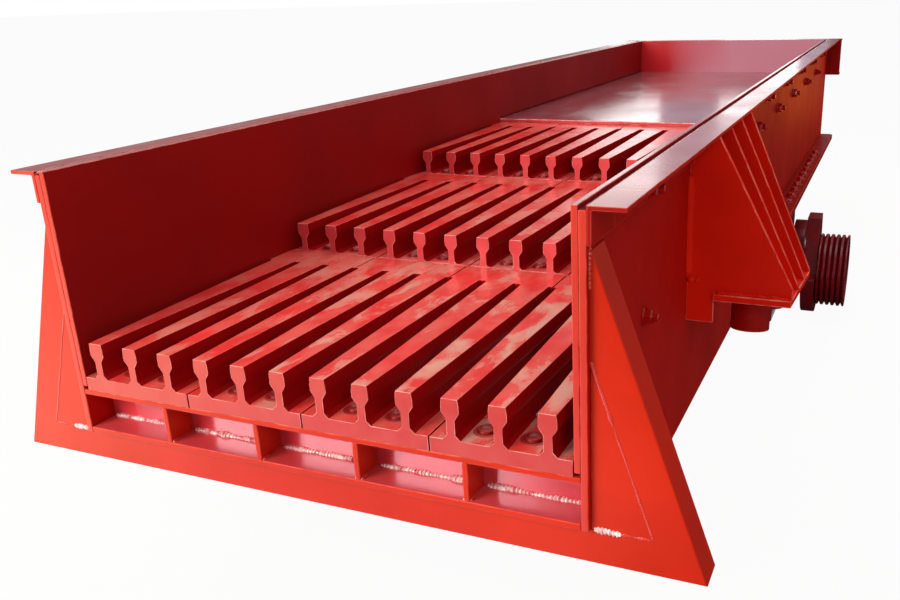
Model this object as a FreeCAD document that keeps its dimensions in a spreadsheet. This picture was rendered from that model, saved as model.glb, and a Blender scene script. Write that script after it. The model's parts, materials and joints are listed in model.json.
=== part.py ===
# Vibrating grizzly feeder: welded trough, three stepped tiers of cast grizzly panels, a flat feed deck,
# spring brackets and a twin-shaft exciter hung under the deck.
# Millimetres. X runs across the trough, Y from the discharge end to the feed end, Z up.
# The origin is the middle of the front face of the discharge frame's bottom bar.
import FreeCAD, Part
import Sketcher
import math
import os
import re

panelsAcross = 4
barsPerPanel = 3
tierCount = 3
beamRibCount = 4
gussetCount = 4
deckRibCount = 4
grooveCount = 5
gearTeeth = 18
exciterBoltCount = 6
rearBoltCount = 5
highNutCount = 6
lowNutCount = 2

sizes = {
    # Grizzly panels
    "bar_pitch": 80,  # spacing of the grizzly bars across the trough
    "panel_gap": 3,  # joint between neighbouring panels
    "tier_pitch": 645,  # length of one tier
    "tier_rise": 68,  # step up from one tier to the next
    "base_thick": 27,  # panel's bolted front base, thickness
    "base_depth": 120,  # panel's bolted front base, front to back
    "bar_height": 70,  # bar above its base
    "slot_length": 556,  # open length between the bars, from the panel's front
    "land_thick": 27,  # panel's rear land, thickness
    "foot_thick": 25,  # panel's rear foot, thickness
    "head_width": 28,  # bar head across its top at the front
    "cheek_width": 31,  # bar head at its widest at the front
    "web_width": 15,  # bar web at the front
    "root_width": 32,  # bar at its root on the base
    "head_crown": 12,  # top of the head down to its widest point
    "head_depth": 24,  # top of the head down to its lower cheek
    "undercut": 12,  # lower cheek down to the web
    "root_rise": 8,  # height of the flare at the bar's root
    "bar_taper": 37,  # how much wider a bar is at the rear than at the front
    "bolt_setback": 46,  # panel bolts behind the panel's front
    "bolt_head": 30,  # panel bolt's head, across its corners
    "bolt_head_height": 11,  # panel bolt's head, height
    # Trough walls and deck
    "front_overhang": 12,  # trough ahead of the discharge frame's face
    "liner_thick": 10,  # bolted side liner
    "liner_gap": 7,  # liner's clearance over what it stands above
    "side_thick": 12,  # side plate
    "rim_recess": 6,  # side plate's top edge below the rim
    "wall_height": 165,  # rim above the feed deck
    "angle_leg": 56,  # rim angle, each leg
    "angle_thick": 7,  # rim angle, thickness
    "deck_thick": 12,  # feed deck plate
    "deck_step": 12,  # feed deck above the last tier
    "deck_length": 1950,  # feed deck, front to rear wall
    "deck_rib_depth": 150,  # rib under the deck, height
    "deck_rib_thick": 12,  # rib under the deck, thickness
    "deck_rib_pitch": 400,  # spacing of the ribs under the deck
    "rear_thick": 12,  # rear wall
    "rear_drop": 12,  # rear wall below the deck's top
    "rear_ear": 10,  # rear wall beyond the rim angles
    "rear_lip": 56,  # rear wall's folded lips, width
    "skirt_drop": 87,  # side plate's lowest edge below the origin
    "skirt_start": 300,  # where the side plate reaches its full depth
    "skirt_lead": 423,  # side plate's full depth, end ahead of the deck's front
    "nut_width": 28,  # liner nut, across its corners
    "nut_height": 16,  # liner nut
    "nut_pitch": 437,  # spacing of the liner nuts along a row
    "nut_clear": 45,  # nearest liner nut behind the bracket
    "nut_lead": 338,  # front liner nuts ahead of the bracket
    "nut_shift": 109,  # rows of liner nuts against each other
    "nut_rim_drop": 38,  # top row of liner nuts below the rim
    "nut_drop": 110,  # second row of liner nuts below the rim
    "nut_deck_drop": 95,  # third row of liner nuts below the deck
    # Discharge beam and stepped cross beams
    "beam_floor_thick": 12,  # discharge beam's floor plate
    "beam_opening": 68,  # discharge beam's compartments, height
    "beam_roof_thick": 10,  # discharge beam's roof plate
    "beam_depth": 56,  # discharge beam's compartments, depth
    "beam_back_thick": 10,  # discharge beam's back plate
    "beam_tail": 60,  # discharge beam's roof behind its back plate
    "beam_rib_thick": 10,  # discharge beam's ribs
    "beam_rib_pitch": 200,  # spacing of the discharge beam's ribs
    "ledge_depth": 70,  # ledges of a stepped cross beam
    "ledge_thick": 10,  # plate of a stepped cross beam
    "web_drop": 80,  # stepped cross beam's web below its lower ledge
    # Discharge frame
    "frame_leg": 60,  # discharge frame's angle, each leg
    "frame_thick": 8,  # discharge frame's angle, thickness
    "wing_spread": 178,  # wing's outer corner beyond the side plate
    "wing_drop": 9,  # wing's top below the rim angle
    "wing_tip": 3,  # wing's width at its top
    "wing_band": 60,  # wing's slanted band, measured across
    # Spring brackets
    "bracket_front": 628,  # first gusset's front face
    "gusset_thick": 12,  # bracket gusset
    "gusset_pitch": 126,  # spacing of the gussets
    "bracket_reach": 210,  # bracket's reach from the side plate
    "seat_level": 208,  # seat plate's top at the first gusset
    "seat_tilt": 8,  # seat plate's slope, degrees
    "seat_thick": 14,  # seat plate
    "seat_margin": 12,  # seat plate beyond the outer gussets
    "toe_height": 22,  # first gusset's upright toe over the seat
    "rear_toe": 6,  # toes of the gussets behind it
    "tail_width": 56,  # first gusset's tail, width
    "tail_length": 50,  # first gusset's tail below the seat
    "guide_radius": 40,  # spring guide, radius
    "guide_length": 66,  # spring guide, length
    "guide_out": 123,  # spring guide's middle from the side plate
    "rear_bridge_length": 500,  # rear bridge plate, front to back
    "rear_beam_width": 160,  # rear support beam, front to back
    "rear_beam_height": 110,  # rear support beam, height
    "rear_beam_wall": 10,  # rear support beam's wall
    "rear_seat_thick": 20,  # rear seat wedge at its thin end
    "rear_seat_width": 150,  # rear seat wedge across the trough
    "rear_guide_inset": 122,  # rear spring guide's middle inside the side plate
    # Exciter
    "rail_setback": 12,  # exciter rail's front end behind the deck's front
    "rail_short": 88,  # exciter rail's rear end short of the rear wall
    "rail_width": 64,  # exciter rail's reach from the side plate
    "rail_top": 63,  # exciter rail's top
    "rail_thick": 23,  # exciter rail
    "rail_bevel": 16,  # exciter rail's rear outer corner
    "bridge_thick": 25,  # plate that carries the exciter
    "bridge_margin": 12,  # bridge plate beyond the casing
    "bridge_gap": 5,  # between the two bridge plates
    "bridge_inset": 14,  # bridge plates short of the rails' outer edges
    "rail_bolt_pitch": 104,  # spacing of the bolts along the rails
    "exciter_setback": 475,  # middle of the two shafts behind the deck's front
    "shaft_drop": 213,  # shafts below the origin
    "shaft_spacing": 260,  # between the two shafts
    "journal_radius": 50,  # shaft at its bearings
    "shaft_body": 62,  # shaft between its bearings, radius
    "casing_overhang": 8,  # exciter casing beyond the side plates
    "casing_depth": 620,  # exciter casing, front to back
    "casing_wall": 20,  # casing's shell
    "end_wall": 50,  # casing's end walls, which hold the bearings
    "casing_sump": 165,  # casing below the shafts
    "split_flange": 34,  # flange at the casing's split
    "split_thick": 20,  # each half of that flange
    "bearing_radius": 90,  # bearing seat in the casing, radius
    "running_gap": 0.05,  # shaft's radial clearance in its bearing
    "seat_gap": 0.05,  # bearing's radial clearance in the casing
    "bearing_proud": 14,  # bearing beyond the casing's end
    "gear_width": 70,  # timing gears
    "gear_inset": 30,  # timing gears from the end wall
    "gear_addendum": 8,  # gear tooth above its pitch circle
    "gear_dedendum": 10,  # gear tooth below its pitch circle
    "tooth_foot": 0.60,  # gear tooth at its foot, share of the tooth pitch
    "tooth_tip": 0.28,  # gear tooth at its tip, share of the tooth pitch
    "weight_radius": 162,  # eccentric weight's half disc
    "weight_thick": 46,  # eccentric weight
    "weight_gap": 8,  # between a bearing and the weight beside it
    "wheel_gap": 24,  # between the two shafts' weights, along the shafts
    "hub_radius": 118,  # driven weight's hub
    "lug_foot": 168,  # eccentric weight's upper lug, width at the shaft
    "lug_width": 90,  # eccentric weight's upper lug, width at its top
    "lug_radius": 204,  # eccentric weight's upper lug from the shaft
    "sheave_radius": 133,  # belt sheave
    "groove_pitch": 19,  # belt grooves
    "groove_width": 11,  # belt groove at its mouth
    "groove_depth": 12,  # belt groove
    "sheave_edge": 11.5,  # sheave's rim outside the last groove's middle
    "sheave_gap": 4,  # between the sheave and the weight beside it
    "sheave_dish": 20,  # recess in the sheave's outer face
    "shaft_recess": 5,  # drive shaft's end inside the sheave's outer face
    "rim_wall": 16,  # sheave's rim under the grooves
}

doc = FreeCAD.newDocument("Feeder")
sheet = doc.addObject("Spreadsheet::Sheet", "Sizes")
for row, (name, number) in enumerate(sizes.items(), 1):
    sheet.set(f"A{row}", name)
    sheet.set(f"B{row}", str(number))
    sheet.setAlias(f"B{row}", name)
sheet.recompute()


def value(name):
    return float(getattr(sheet, name))


def ex(formula):
    return re.sub(r"[a-z_]\w*", lambda w: "Sizes." + w[0] if w[0] in sizes else w[0], str(formula))


# Levels and stations that several pieces share
halfWidth = f"bar_pitch * {panelsAcross * barsPerPanel} / 2"
sideIn = f"({halfWidth} + liner_thick)"
sideOut = f"({halfWidth} + liner_thick + side_thick)"
yFront = "-front_overhang"
barTop = "(frame_leg / 2)"
beamFloor = f"({barTop} + beam_floor_thick)"
beamRoof = f"({beamFloor} + beam_opening)"
firstBase = f"({beamRoof} + beam_roof_thick)"
deckTop = f"({firstBase} + tier_rise * {tierCount - 1} + base_thick + bar_height + deck_step)"
deckUnder = f"({deckTop} - deck_thick)"
rimTop = f"({deckTop} + wall_height)"
deckFront = f"(tier_pitch * {tierCount} - front_overhang)"
rearIn = f"({deckFront} + deck_length)"
railUnder = "(rail_top - rail_thick)"
railFront = f"({deckFront} + rail_setback)"
railRear = f"({rearIn} - rail_short)"
bridgeUnder = f"({railUnder} - bridge_thick)"
exciterMiddle = f"({deckFront} + exciter_setback)"
casingFront = f"({exciterMiddle} - casing_depth / 2)"
casingRear = f"({exciterMiddle} + casing_depth / 2)"
bridgeFront = f"({casingFront} - bridge_margin)"
bridgeRear = f"({casingRear} + bridge_margin)"
rearBridge = f"({bridgeRear} + bridge_gap)"
rearMiddle = f"({rearBridge} + rear_bridge_length / 2)"
shaftFront = f"({exciterMiddle} - shaft_spacing / 2)"
shaftRear = f"({exciterMiddle} + shaft_spacing / 2)"
casingEnd = f"({sideOut} + casing_overhang)"
bearingEnd = f"({casingEnd} + bearing_proud)"
insideEnd = f"({casingEnd} - end_wall)"
innerWeight = f"({bearingEnd} + weight_gap)"
outerWeight = f"({innerWeight} + weight_thick + wheel_gap)"
sheaveIn = f"({outerWeight} + weight_thick + sheave_gap)"
sheaveOut = f"({sheaveIn} + groove_pitch * {grooveCount - 1} + sheave_edge * 2)"
driveEnd = f"({outerWeight} + weight_thick + weight_gap)"
drivenEnd = f"({innerWeight} + weight_thick + weight_gap)"


def tierFront(tier):
    return f"(tier_pitch * {tier} - front_overhang)"


def tierBase(tier):
    return f"({firstBase} + tier_rise * {tier})"


planes = {
    "XY": (FreeCAD.Rotation(), "z", FreeCAD.Vector(0, 0, 1)),
    "XZ": (FreeCAD.Rotation(FreeCAD.Vector(1, 0, 0), 90), "y", FreeCAD.Vector(0, 1, 0)),
    "YZ": (FreeCAD.Rotation(FreeCAD.Vector(1, 1, 1), 120), "x", FreeCAD.Vector(1, 0, 0)),
}
nodes = []


def node(piece, label):
    piece.Label = label
    nodes.append(piece)
    return piece


def place(piece, **base):
    for axis, formula in base.items():
        piece.setExpression(f"Placement.Base.{axis}", ex(formula))
    return piece


def box(name, x, y, z):
    piece = doc.addObject("Part::Box", name)
    for side, axis, (low, high) in (("Length", "x", x), ("Width", "y", y), ("Height", "z", z)):
        piece.setExpression(side, ex(f"({high}) - ({low})"))
        place(piece, **{axis: low})
    return piece


def cylinder(name, radius, low, high):
    # A round bar on the X axis, from low to high
    piece = doc.addObject("Part::Cylinder", name)
    piece.Placement.Rotation = FreeCAD.Rotation(FreeCAD.Vector(0, 1, 0), 90)
    piece.setExpression("Radius", ex(radius))
    piece.setExpression("Height", ex(f"({high}) - ({low})"))
    return place(piece, x=low)


def outline(name, plane, points, station="0"):
    # A closed outline whose corners are each held by two dimensions from the sketch's origin
    turn, axis, _ = planes[plane]
    sketch = doc.addObject("Sketcher::SketchObject", name)
    sketch.Placement.Rotation = turn
    place(sketch, **{axis: station})
    count = len(points)
    start = [FreeCAD.Vector(math.cos(2 * math.pi * i / count), math.sin(2 * math.pi * i / count), 0)
             for i in range(count)]
    for i in range(count):
        sketch.addGeometry(Part.LineSegment(start[i], start[(i + 1) % count]), False)
    for i in range(count):
        sketch.addConstraint(Sketcher.Constraint("Coincident", i, 2, (i + 1) % count, 1))
    for i, corner in enumerate(points):
        for kind, formula, at in zip(("DistanceX", "DistanceY"), corner, start[i]):
            index = sketch.addConstraint(Sketcher.Constraint(kind, -1, 1, i, 1, at))
            sketch.setExpression(f"Constraints[{index}]", ex(formula))
    return sketch


def prism(name, plane, points, low, high):
    piece = doc.addObject("Part::Extrusion", name)
    piece.Base = outline(name + "_outline", plane, points, low)
    piece.DirMode = "Custom"
    piece.Dir = planes[plane][2]
    piece.Solid = True
    piece.setExpression("LengthFwd", ex(f"({high}) - ({low})"))
    return piece


def fuse(name, *pieces):
    piece = doc.addObject("Part::MultiFuse", name)
    piece.Shapes = list(pieces)
    piece.Refine = True
    return piece


def cut(name, base, tool):
    piece = doc.addObject("Part::Cut", name)
    piece.Base = base
    piece.Tool = tool
    piece.Refine = True
    return piece


def group(name, *pieces):
    piece = doc.addObject("Part::Compound", name)
    piece.Links = list(pieces)
    return piece


def mirrored(piece, name):
    twin = doc.addObject("Part::Mirroring", name)
    twin.Source = piece
    twin.Normal = FreeCAD.Vector(1, 0, 0)
    return twin


def pair(piece, name):
    node(piece, name + "_right")
    node(mirrored(piece, name + "_left"), name + "_left")


def hexagon(name, across, height, turn, **base):
    piece = doc.addObject("Part::Prism", name)
    piece.Polygon = 6
    piece.Placement.Rotation = turn
    piece.setExpression("Circumradius", ex(f"{across} / 2"))
    piece.setExpression("Height", ex(height))
    return place(piece, **base)


# Side plates: one flat plate each, cut up over the exciter and behind the discharge frame
sidePlate = [
    (yFront, barTop),
    ("frame_leg + frame_thick", barTop),
    ("skirt_start", "-skirt_drop"),
    (f"{deckFront} - skirt_lead", "-skirt_drop"),
    (railFront, railUnder),
    (rearIn, railUnder),
    (rearIn, f"{rimTop} - rim_recess"),
    (yFront, f"{rimTop} - rim_recess"),
]
pair(prism("side_plate", "YZ", sidePlate, sideIn, sideOut), "side_plate")

# Rim angles along the top of both sides
rimAngle = [
    (sideOut, rimTop),
    (sideOut, f"{rimTop} - angle_leg"),
    (f"{sideOut} + angle_thick", f"{rimTop} - angle_leg"),
    (f"{sideOut} + angle_thick", f"{rimTop} - angle_thick"),
    (f"{sideOut} + angle_leg", f"{rimTop} - angle_thick"),
    (f"{sideOut} + angle_leg", rimTop),
]
pair(prism("rim_angle", "XZ", rimAngle, yFront, rearIn), "rim_angle")

# Bolted liners, stepped along the tiers and clear of the deck
linerEdge = [(yFront, f"{tierBase(0)} + liner_gap")]
for tier in range(1, tierCount + 1):
    station = f"{tierFront(tier)} - panel_gap"
    level = tierBase(tier) if tier < tierCount else deckTop
    linerEdge.append((station, f"{tierBase(tier - 1)} + liner_gap"))
    linerEdge.append((station, f"{level} + liner_gap"))
linerEdge.append((rearIn, f"{deckTop} + liner_gap"))
linerEdge.append((rearIn, rimTop))
linerEdge.append((yFront, rimTop))
pair(prism("side_liner", "YZ", linerEdge, halfWidth, sideIn), "side_liner")

# Rear wall, folded back at its top and bottom
rearWall = [
    (rearIn, rimTop),
    (rearIn, f"{deckTop} - rear_drop"),
    (f"{rearIn} + rear_lip", f"{deckTop} - rear_drop"),
    (f"{rearIn} + rear_lip", f"{deckTop} - rear_drop + rear_thick"),
    (f"{rearIn} + rear_thick", f"{deckTop} - rear_drop + rear_thick"),
    (f"{rearIn} + rear_thick", f"{rimTop} - angle_thick"),
    (f"{rearIn} + rear_lip", f"{rimTop} - angle_thick"),
    (f"{rearIn} + rear_lip", rimTop),
]
rearHalf = f"({sideOut} + angle_leg + rear_ear)"
node(prism("rear_wall", "YZ", rearWall, f"-{rearHalf}", rearHalf), "rear_wall")

# Feed deck and the ribs that carry it
node(box("deck_plate", (f"-{sideIn}", sideIn), (deckFront, rearIn), (deckUnder, deckTop)), "deck_plate")
deckRibs = []
for rib in range(deckRibCount):
    station = f"{deckFront} + deck_rib_pitch * {rib + 1}"
    deckRibs.append(box(f"deck_rib_{rib}", (f"-{sideIn}", sideIn), (station, f"{station} + deck_rib_thick"),
                        (f"{deckUnder} - deck_rib_depth", deckUnder)))
node(group("deck_ribs", *deckRibs), "deck_ribs")

# Discharge beam: open to the front, with upright ribs between its floor and its roof
acrossBeam = (f"-{sideIn}", sideIn)
beamBack = f"({yFront} + beam_depth)"
beamRear = f"({beamBack} + beam_back_thick)"
node(box("discharge_roof", acrossBeam, (yFront, f"{beamRear} + beam_tail"), (beamRoof, firstBase)),
     "discharge_roof")
node(box("discharge_floor", acrossBeam, (yFront, beamRear), (barTop, beamFloor)), "discharge_floor")
node(box("discharge_back", acrossBeam, (beamBack, beamRear), (beamFloor, beamRoof)), "discharge_back")
beamRibs = []
for rib in range(beamRibCount):
    middle = f"beam_rib_pitch * {rib - (beamRibCount - 1) / 2}"
    across = (f"{middle} - beam_rib_thick / 2", f"{middle} + beam_rib_thick / 2")
    beamRibs.append(box(f"discharge_rib_{rib}", across, (yFront, beamBack), (beamFloor, beamRoof)))
node(group("discharge_ribs", *beamRibs), "discharge_ribs")

# Stepped cross beams: the lower ledge carries one tier's rear feet, the upper one the next tier's bases
beamNames = ["lower", "middle", "upper"]
for tier in range(1, tierCount + 1):
    front = tierFront(tier)
    low = tierBase(tier - 1)
    high = tierBase(tier) if tier < tierCount else deckUnder
    stepBeam = [
        (f"{front} - ledge_depth", low),
        (f"{front} - ledge_depth", f"{low} - ledge_thick"),
        (front, f"{low} - ledge_thick"),
        (front, f"{low} - web_drop"),
        (f"{front} + ledge_thick", f"{low} - web_drop"),
        (f"{front} + ledge_thick", f"{high} - ledge_thick"),
        (f"{front} + ledge_depth", f"{high} - ledge_thick"),
        (f"{front} + ledge_depth", high),
        (front, high),
        (front, low),
    ]
    name = f"step_beam_{beamNames[tier - 1]}"
    node(prism(name, "YZ", stepBeam, *acrossBeam), name)

# Grizzly panel, drawn once at its own front corner and copied to every place.
# A bar is a rail section that widens to the rear, so the slots narrow away from the discharge end.
panelHalf = f"(bar_pitch * {barsPerPanel} / 2 - panel_gap / 2)"
panelLength = "(tier_pitch - panel_gap)"
panelTop = "(base_thick + bar_height)"
barRear = f"({panelLength} - foot_thick)"
barLevels = [
    ("web_width", "base_thick"),
    ("web_width", f"{panelTop} - head_depth - undercut"),
    ("cheek_width", f"{panelTop} - head_depth"),
    ("cheek_width", f"{panelTop} - head_crown"),
    ("head_width", panelTop),
]


def leaningBar(name, profile, lean):
    # The bar's section drawn straight back, leaning outward by lean at the rear
    piece = doc.addObject("Part::Extrusion", name)
    piece.Base = profile
    piece.DirMode = "Custom"
    piece.Dir = planes["XZ"][2]
    piece.Solid = True
    piece.setExpression("Dir.x", ex(lean))
    piece.setExpression("Dir.y", ex(barRear))
    return piece


panelBars = []
for bar in range(barsPerPanel):
    middle = f"bar_pitch * {bar - (barsPerPanel - 1) / 2}"
    right = [(f"{middle} + {width} / 2", level) for width, level in barLevels]
    left = [(f"{middle} - {width} / 2", level) for width, level in reversed(barLevels)]
    profile = outline(f"bar_profile_{bar}", "XZ", right + left)
    core = [(f"{middle} - web_width / 4", "0"), (f"{middle} + web_width / 4", "0"),
            (f"{middle} + web_width / 4 + bar_taper / 2", barRear),
            (f"{middle} - web_width / 4 - bar_taper / 2", barRear)]
    root = [(f"{middle} - root_width / 2", "base_thick"), (f"{middle} + root_width / 2", "base_thick"),
            (f"{middle} + web_width / 2", "base_thick + root_rise"),
            (f"{middle} - web_width / 2", "base_thick + root_rise")]
    panelBars += [prism(f"bar_root_{bar}", "XZ", root, "0", "base_depth"),
                  leaningBar(f"bar_right_{bar}", profile, "bar_taper / 2"),
                  leaningBar(f"bar_left_{bar}", profile, "-bar_taper / 2"),
                  prism(f"bar_core_{bar}", "XY", core, "base_thick", panelTop)]
panelAcross = (f"-{panelHalf}", panelHalf)
panelBase = box("panel_base", panelAcross, ("0", "base_depth"), ("0", "base_thick"))
landUnder = f"({panelTop} - land_thick)"
panelLand = box("panel_land", panelAcross, ("slot_length", panelLength), (landUnder, panelTop))
panelFoot = box("panel_foot", panelAcross, (barRear, panelLength), ("0", landUnder))
panel = fuse("grizzly_panel", panelBase, panelLand, panelFoot, *panelBars)
panelBolts = []
for tier, name in enumerate(beamNames):
    for column in range(panelsAcross):
        middle = f"bar_pitch * {barsPerPanel * (column - (panelsAcross - 1) / 2)}"
        label = f"grizzly_{name}_{column + 1}"
        copy = group(label, panel)
        node(place(copy, x=middle, y=tierFront(tier), z=tierBase(tier)), label)
        for side in (-1, 1):
            panelBolts.append(hexagon(f"panel_bolt_{len(panelBolts)}", "bolt_head", "bolt_head_height",
                                      FreeCAD.Rotation(), x=f"{middle} + bar_pitch * {side / 2}",
                                      y=f"{tierFront(tier)} + bolt_setback",
                                      z=f"{tierBase(tier)} + base_thick"))
node(group("panel_bolts", *panelBolts), "panel_bolts")

# Discharge frame: a bottom bar and two slanted wings of angle, with a triangular plate in each wing
frameLow = "(-frame_leg / 2)"
wingHead = f"({sideOut} + wing_tip)"
wingTop = f"({rimTop} - angle_leg - wing_drop)"
wingFoot = f"({sideOut} + wing_spread)"
wingSlope = f"(({wingFoot} - {wingHead}) / ({wingTop} - {frameLow}))"
legAcross = f"(frame_thick * sqrt(1 + {wingSlope} * {wingSlope}))"


def wingEdge(level):
    return f"({wingFoot} - {wingSlope} * ({level} - {frameLow}))"


def wingLevel(inset):
    # Height at which the wing's edge, moved in by inset, meets the side plate
    return f"({frameLow} + ({wingFoot} - {inset} - {sideOut}) / {wingSlope})"


mitre = (f"{wingEdge(barTop)} - wing_band", barTop)
legLow = f"({frameLow} + frame_thick)"
legMitre = (f"{wingEdge(legLow)} - {legAcross}", legLow)
wingBand = [(wingFoot, frameLow), (wingHead, wingTop), (sideOut, wingTop),
            (sideOut, wingLevel("wing_band")), mitre]
wingLeg = [(wingFoot, frameLow), (wingHead, wingTop), (sideOut, wingTop),
           (sideOut, wingLevel(legAcross)), legMitre]
pair(fuse("wing_angle", prism("wing_band", "XZ", wingBand, "0", "frame_thick"),
          prism("wing_leg", "XZ", wingLeg, "frame_thick", "frame_leg")), "wing_angle")
wingFiller = [(sideOut, barTop), mitre, (sideOut, wingLevel("wing_band"))]
pair(prism("wing_filler", "XZ", wingFiller, "0", "frame_thick"), "wing_filler")
bottomBand = [(f"-{wingFoot}", frameLow), (wingFoot, frameLow), mitre, (f"-({mitre[0]})", barTop)]
bottomLeg = [(f"-{wingFoot}", frameLow), (wingFoot, frameLow), legMitre, (f"-({legMitre[0]})", legLow)]
node(fuse("bottom_bar", prism("bottom_band", "XZ", bottomBand, "0", "frame_thick"),
          prism("bottom_leg", "XZ", bottomLeg, "frame_thick", "frame_leg")), "bottom_bar")

# Spring brackets: upright gussets on a sloping seat plate, with two spring guides under each seat
bracketRear = f"(bracket_front + gusset_pitch * {gussetCount - 1} + gusset_thick)"
reachOut = f"({sideOut} + bracket_reach)"
seatLength = f"({bracketRear} - bracket_front + seat_margin * 2)"


def onSeat(piece):
    # Places a piece drawn over the seat's front inner corner, with the seat's slope
    piece.Placement.Rotation = FreeCAD.Rotation(FreeCAD.Vector(-1, 0, 0), value("seat_tilt"))
    piece.setExpression("Placement.Rotation.Angle", ex("seat_tilt"))
    return place(piece, x=sideOut, y="bracket_front - seat_margin",
                 z="seat_level + seat_margin * tan(seat_tilt)")


def gussetOutline(low, toeTop):
    return [
        (sideOut, low),
        (sideOut, f"{rimTop} - angle_leg"),
        (f"{sideOut} + angle_thick", f"{rimTop} - angle_leg"),
        (f"{sideOut} + angle_thick", f"{rimTop} - angle_thick"),
        (f"{sideOut} + angle_leg", f"{rimTop} - angle_thick"),
        (reachOut, toeTop),
        (reachOut, low),
    ]


tailLow = "seat_level - seat_thick - tail_length"
gussets = []
seatDepth = f"(seat_thick + {seatLength} * sin(seat_tilt) + tail_length)"
for number in range(gussetCount):
    station = f"(bracket_front + gusset_pitch * {number})"
    below = onSeat(group(f"under_seat_{number}",
                         box(f"under_seat_block_{number}", ("-seat_margin", "bracket_reach + seat_margin"),
                             ("-seat_margin", f"{seatLength} + seat_margin"), (f"-{seatDepth}", "0"))))
    toe = "rear_toe" if number else "toe_height"
    toeTop = f"seat_level - gusset_pitch * {number} * tan(seat_tilt) + {toe}"
    blank = prism(f"gusset_blank_{number}", "XZ", gussetOutline(tailLow, toeTop),
                  station, f"{station} + gusset_thick")
    gussets.append(cut(f"gusset_{number}", blank, below))
frontGusset = ("bracket_front", "bracket_front + gusset_thick")
tail = box("gusset_tail", (sideOut, f"{sideOut} + tail_width"), frontGusset,
           (tailLow, "seat_level + toe_height"))
gussets[0] = fuse("gusset_front", gussets[0], tail)
pair(group("bracket_gussets", *gussets), "bracket_gussets")

seatBlank = onSeat(group("seat_blank", box("seat_block", ("0", "bracket_reach"), ("0", seatLength),
                                           ("-seat_thick", "0"))))
seatNotch = box("seat_notch", (f"{sideOut} - seat_margin", f"{sideOut} + tail_width"),
                ("bracket_front - seat_margin * 2", "bracket_front + gusset_thick"),
                ("seat_level - seat_thick * 3", "seat_level + seat_thick * 2"))
pair(cut("seat_plate", seatBlank, seatNotch), "seat_plate")


# Nuts of the liner bolts, in rows along the outside of each side and clear of the brackets.
# The top row goes through the rim angle, and the lowest holds only the tall part of the liner.
frontNut = ["bracket_front - nut_lead"]
nutRows = [
    (f"{sideOut} + angle_thick", f"{rimTop} - nut_rim_drop", highNutCount, "nut_shift", frontNut),
    (sideOut, f"{rimTop} - nut_drop", highNutCount, "0", []),
    (sideOut, f"{deckTop} - nut_deck_drop", lowNutCount, "nut_shift", frontNut),
]
linerNuts = []
for side in (-1, 1):
    outward = FreeCAD.Rotation(FreeCAD.Vector(0, 1, 0), 90 * side)
    for face, level, count, shift, ahead in nutRows:
        behind = [f"{bracketRear} + nut_clear + {shift} + nut_pitch * {nut}" for nut in range(count)]
        for station in ahead + behind:
            linerNuts.append(hexagon(f"liner_nut_{len(linerNuts)}", "nut_width", "nut_height", outward,
                                     x=f"({face}) * {side}", y=station, z=level))
node(group("liner_nuts", *linerNuts), "liner_nuts")


def springGuide(name, x, y, top):
    # A turned guide that stands down from a seat
    bar = doc.addObject("Part::Cylinder", name)
    bar.setExpression("Radius", ex("guide_radius"))
    bar.setExpression("Height", ex("guide_length"))
    return place(bar, x=x, y=y, z=f"{top} - guide_length")


guides = []
for number in (0, gussetCount - 2):
    along = f"seat_margin + gusset_pitch * {number + 0.5} + gusset_thick / 2"
    guides.append(springGuide(f"guide_{number}", "guide_out", along, "-seat_thick"))
frontGuides = onSeat(group("front_guides_right", *guides))
frontTwins = mirrored(frontGuides, "front_guides_left")

# Exciter rails along the side plates and the bridge plate that is bolted under them
railOut = f"({sideOut} + rail_width)"
rail = [(sideOut, railFront), (railOut, railFront), (railOut, f"{railRear} - rail_bevel"),
        (f"{railOut} - rail_bevel", railRear), (sideOut, railRear)]
pair(prism("exciter_rail", "XY", rail, railUnder, "rail_top"), "exciter_rail")
bridgeOut = f"({railOut} - bridge_inset)"
bridgeAcross = (f"-{bridgeOut}", bridgeOut)
bridgeHeight = (bridgeUnder, railUnder)
node(box("exciter_bridge", bridgeAcross, (bridgeFront, bridgeRear), bridgeHeight), "exciter_bridge")
bridgeBolts = []
for side in (-1, 1):
    for middle, count in ((exciterMiddle, exciterBoltCount), (rearMiddle, rearBoltCount)):
        for bolt in range(count):
            station = f"{middle} + rail_bolt_pitch * {bolt - (count - 1) / 2}"
            bridgeBolts.append(hexagon(f"bridge_bolt_{len(bridgeBolts)}", "bolt_head", "bolt_head_height",
                                       FreeCAD.Rotation(), x=f"({sideOut} + rail_width / 2) * {side}",
                                       y=station, z="rail_top"))
node(group("bridge_bolts", *bridgeBolts), "bridge_bolts")

# Rear support: a box beam under a second bridge plate, with sloping seats and a spring guide under each
rearBridgeDepth = (rearBridge, f"{rearBridge} + rear_bridge_length")
node(box("rear_bridge", bridgeAcross, rearBridgeDepth, bridgeHeight), "rear_bridge")
rearFront = f"({rearMiddle} - rear_beam_width / 2)"
rearBack = f"({rearMiddle} + rear_beam_width / 2)"
beamHigh = bridgeUnder
beamLow = f"({bridgeUnder} - rear_beam_height)"
beamBar = box("rear_beam_bar", acrossBeam, (rearFront, rearBack), (beamLow, beamHigh))
beamHollow = box("rear_beam_hollow", acrossBeam,
                 (f"{rearFront} + rear_beam_wall", f"{rearBack} - rear_beam_wall"),
                 (f"{beamLow} + rear_beam_wall", f"{beamHigh} - rear_beam_wall"))
node(cut("rear_beam", beamBar, beamHollow), "rear_beam")
rearSeat = [
    (rearFront, beamLow),
    (rearFront, f"{beamLow} - rear_seat_thick"),
    (rearBack, f"{beamLow} - rear_seat_thick - rear_beam_width * tan(seat_tilt)"),
    (rearBack, beamLow),
]
rearSeats = []
rearGuides = []
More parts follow.
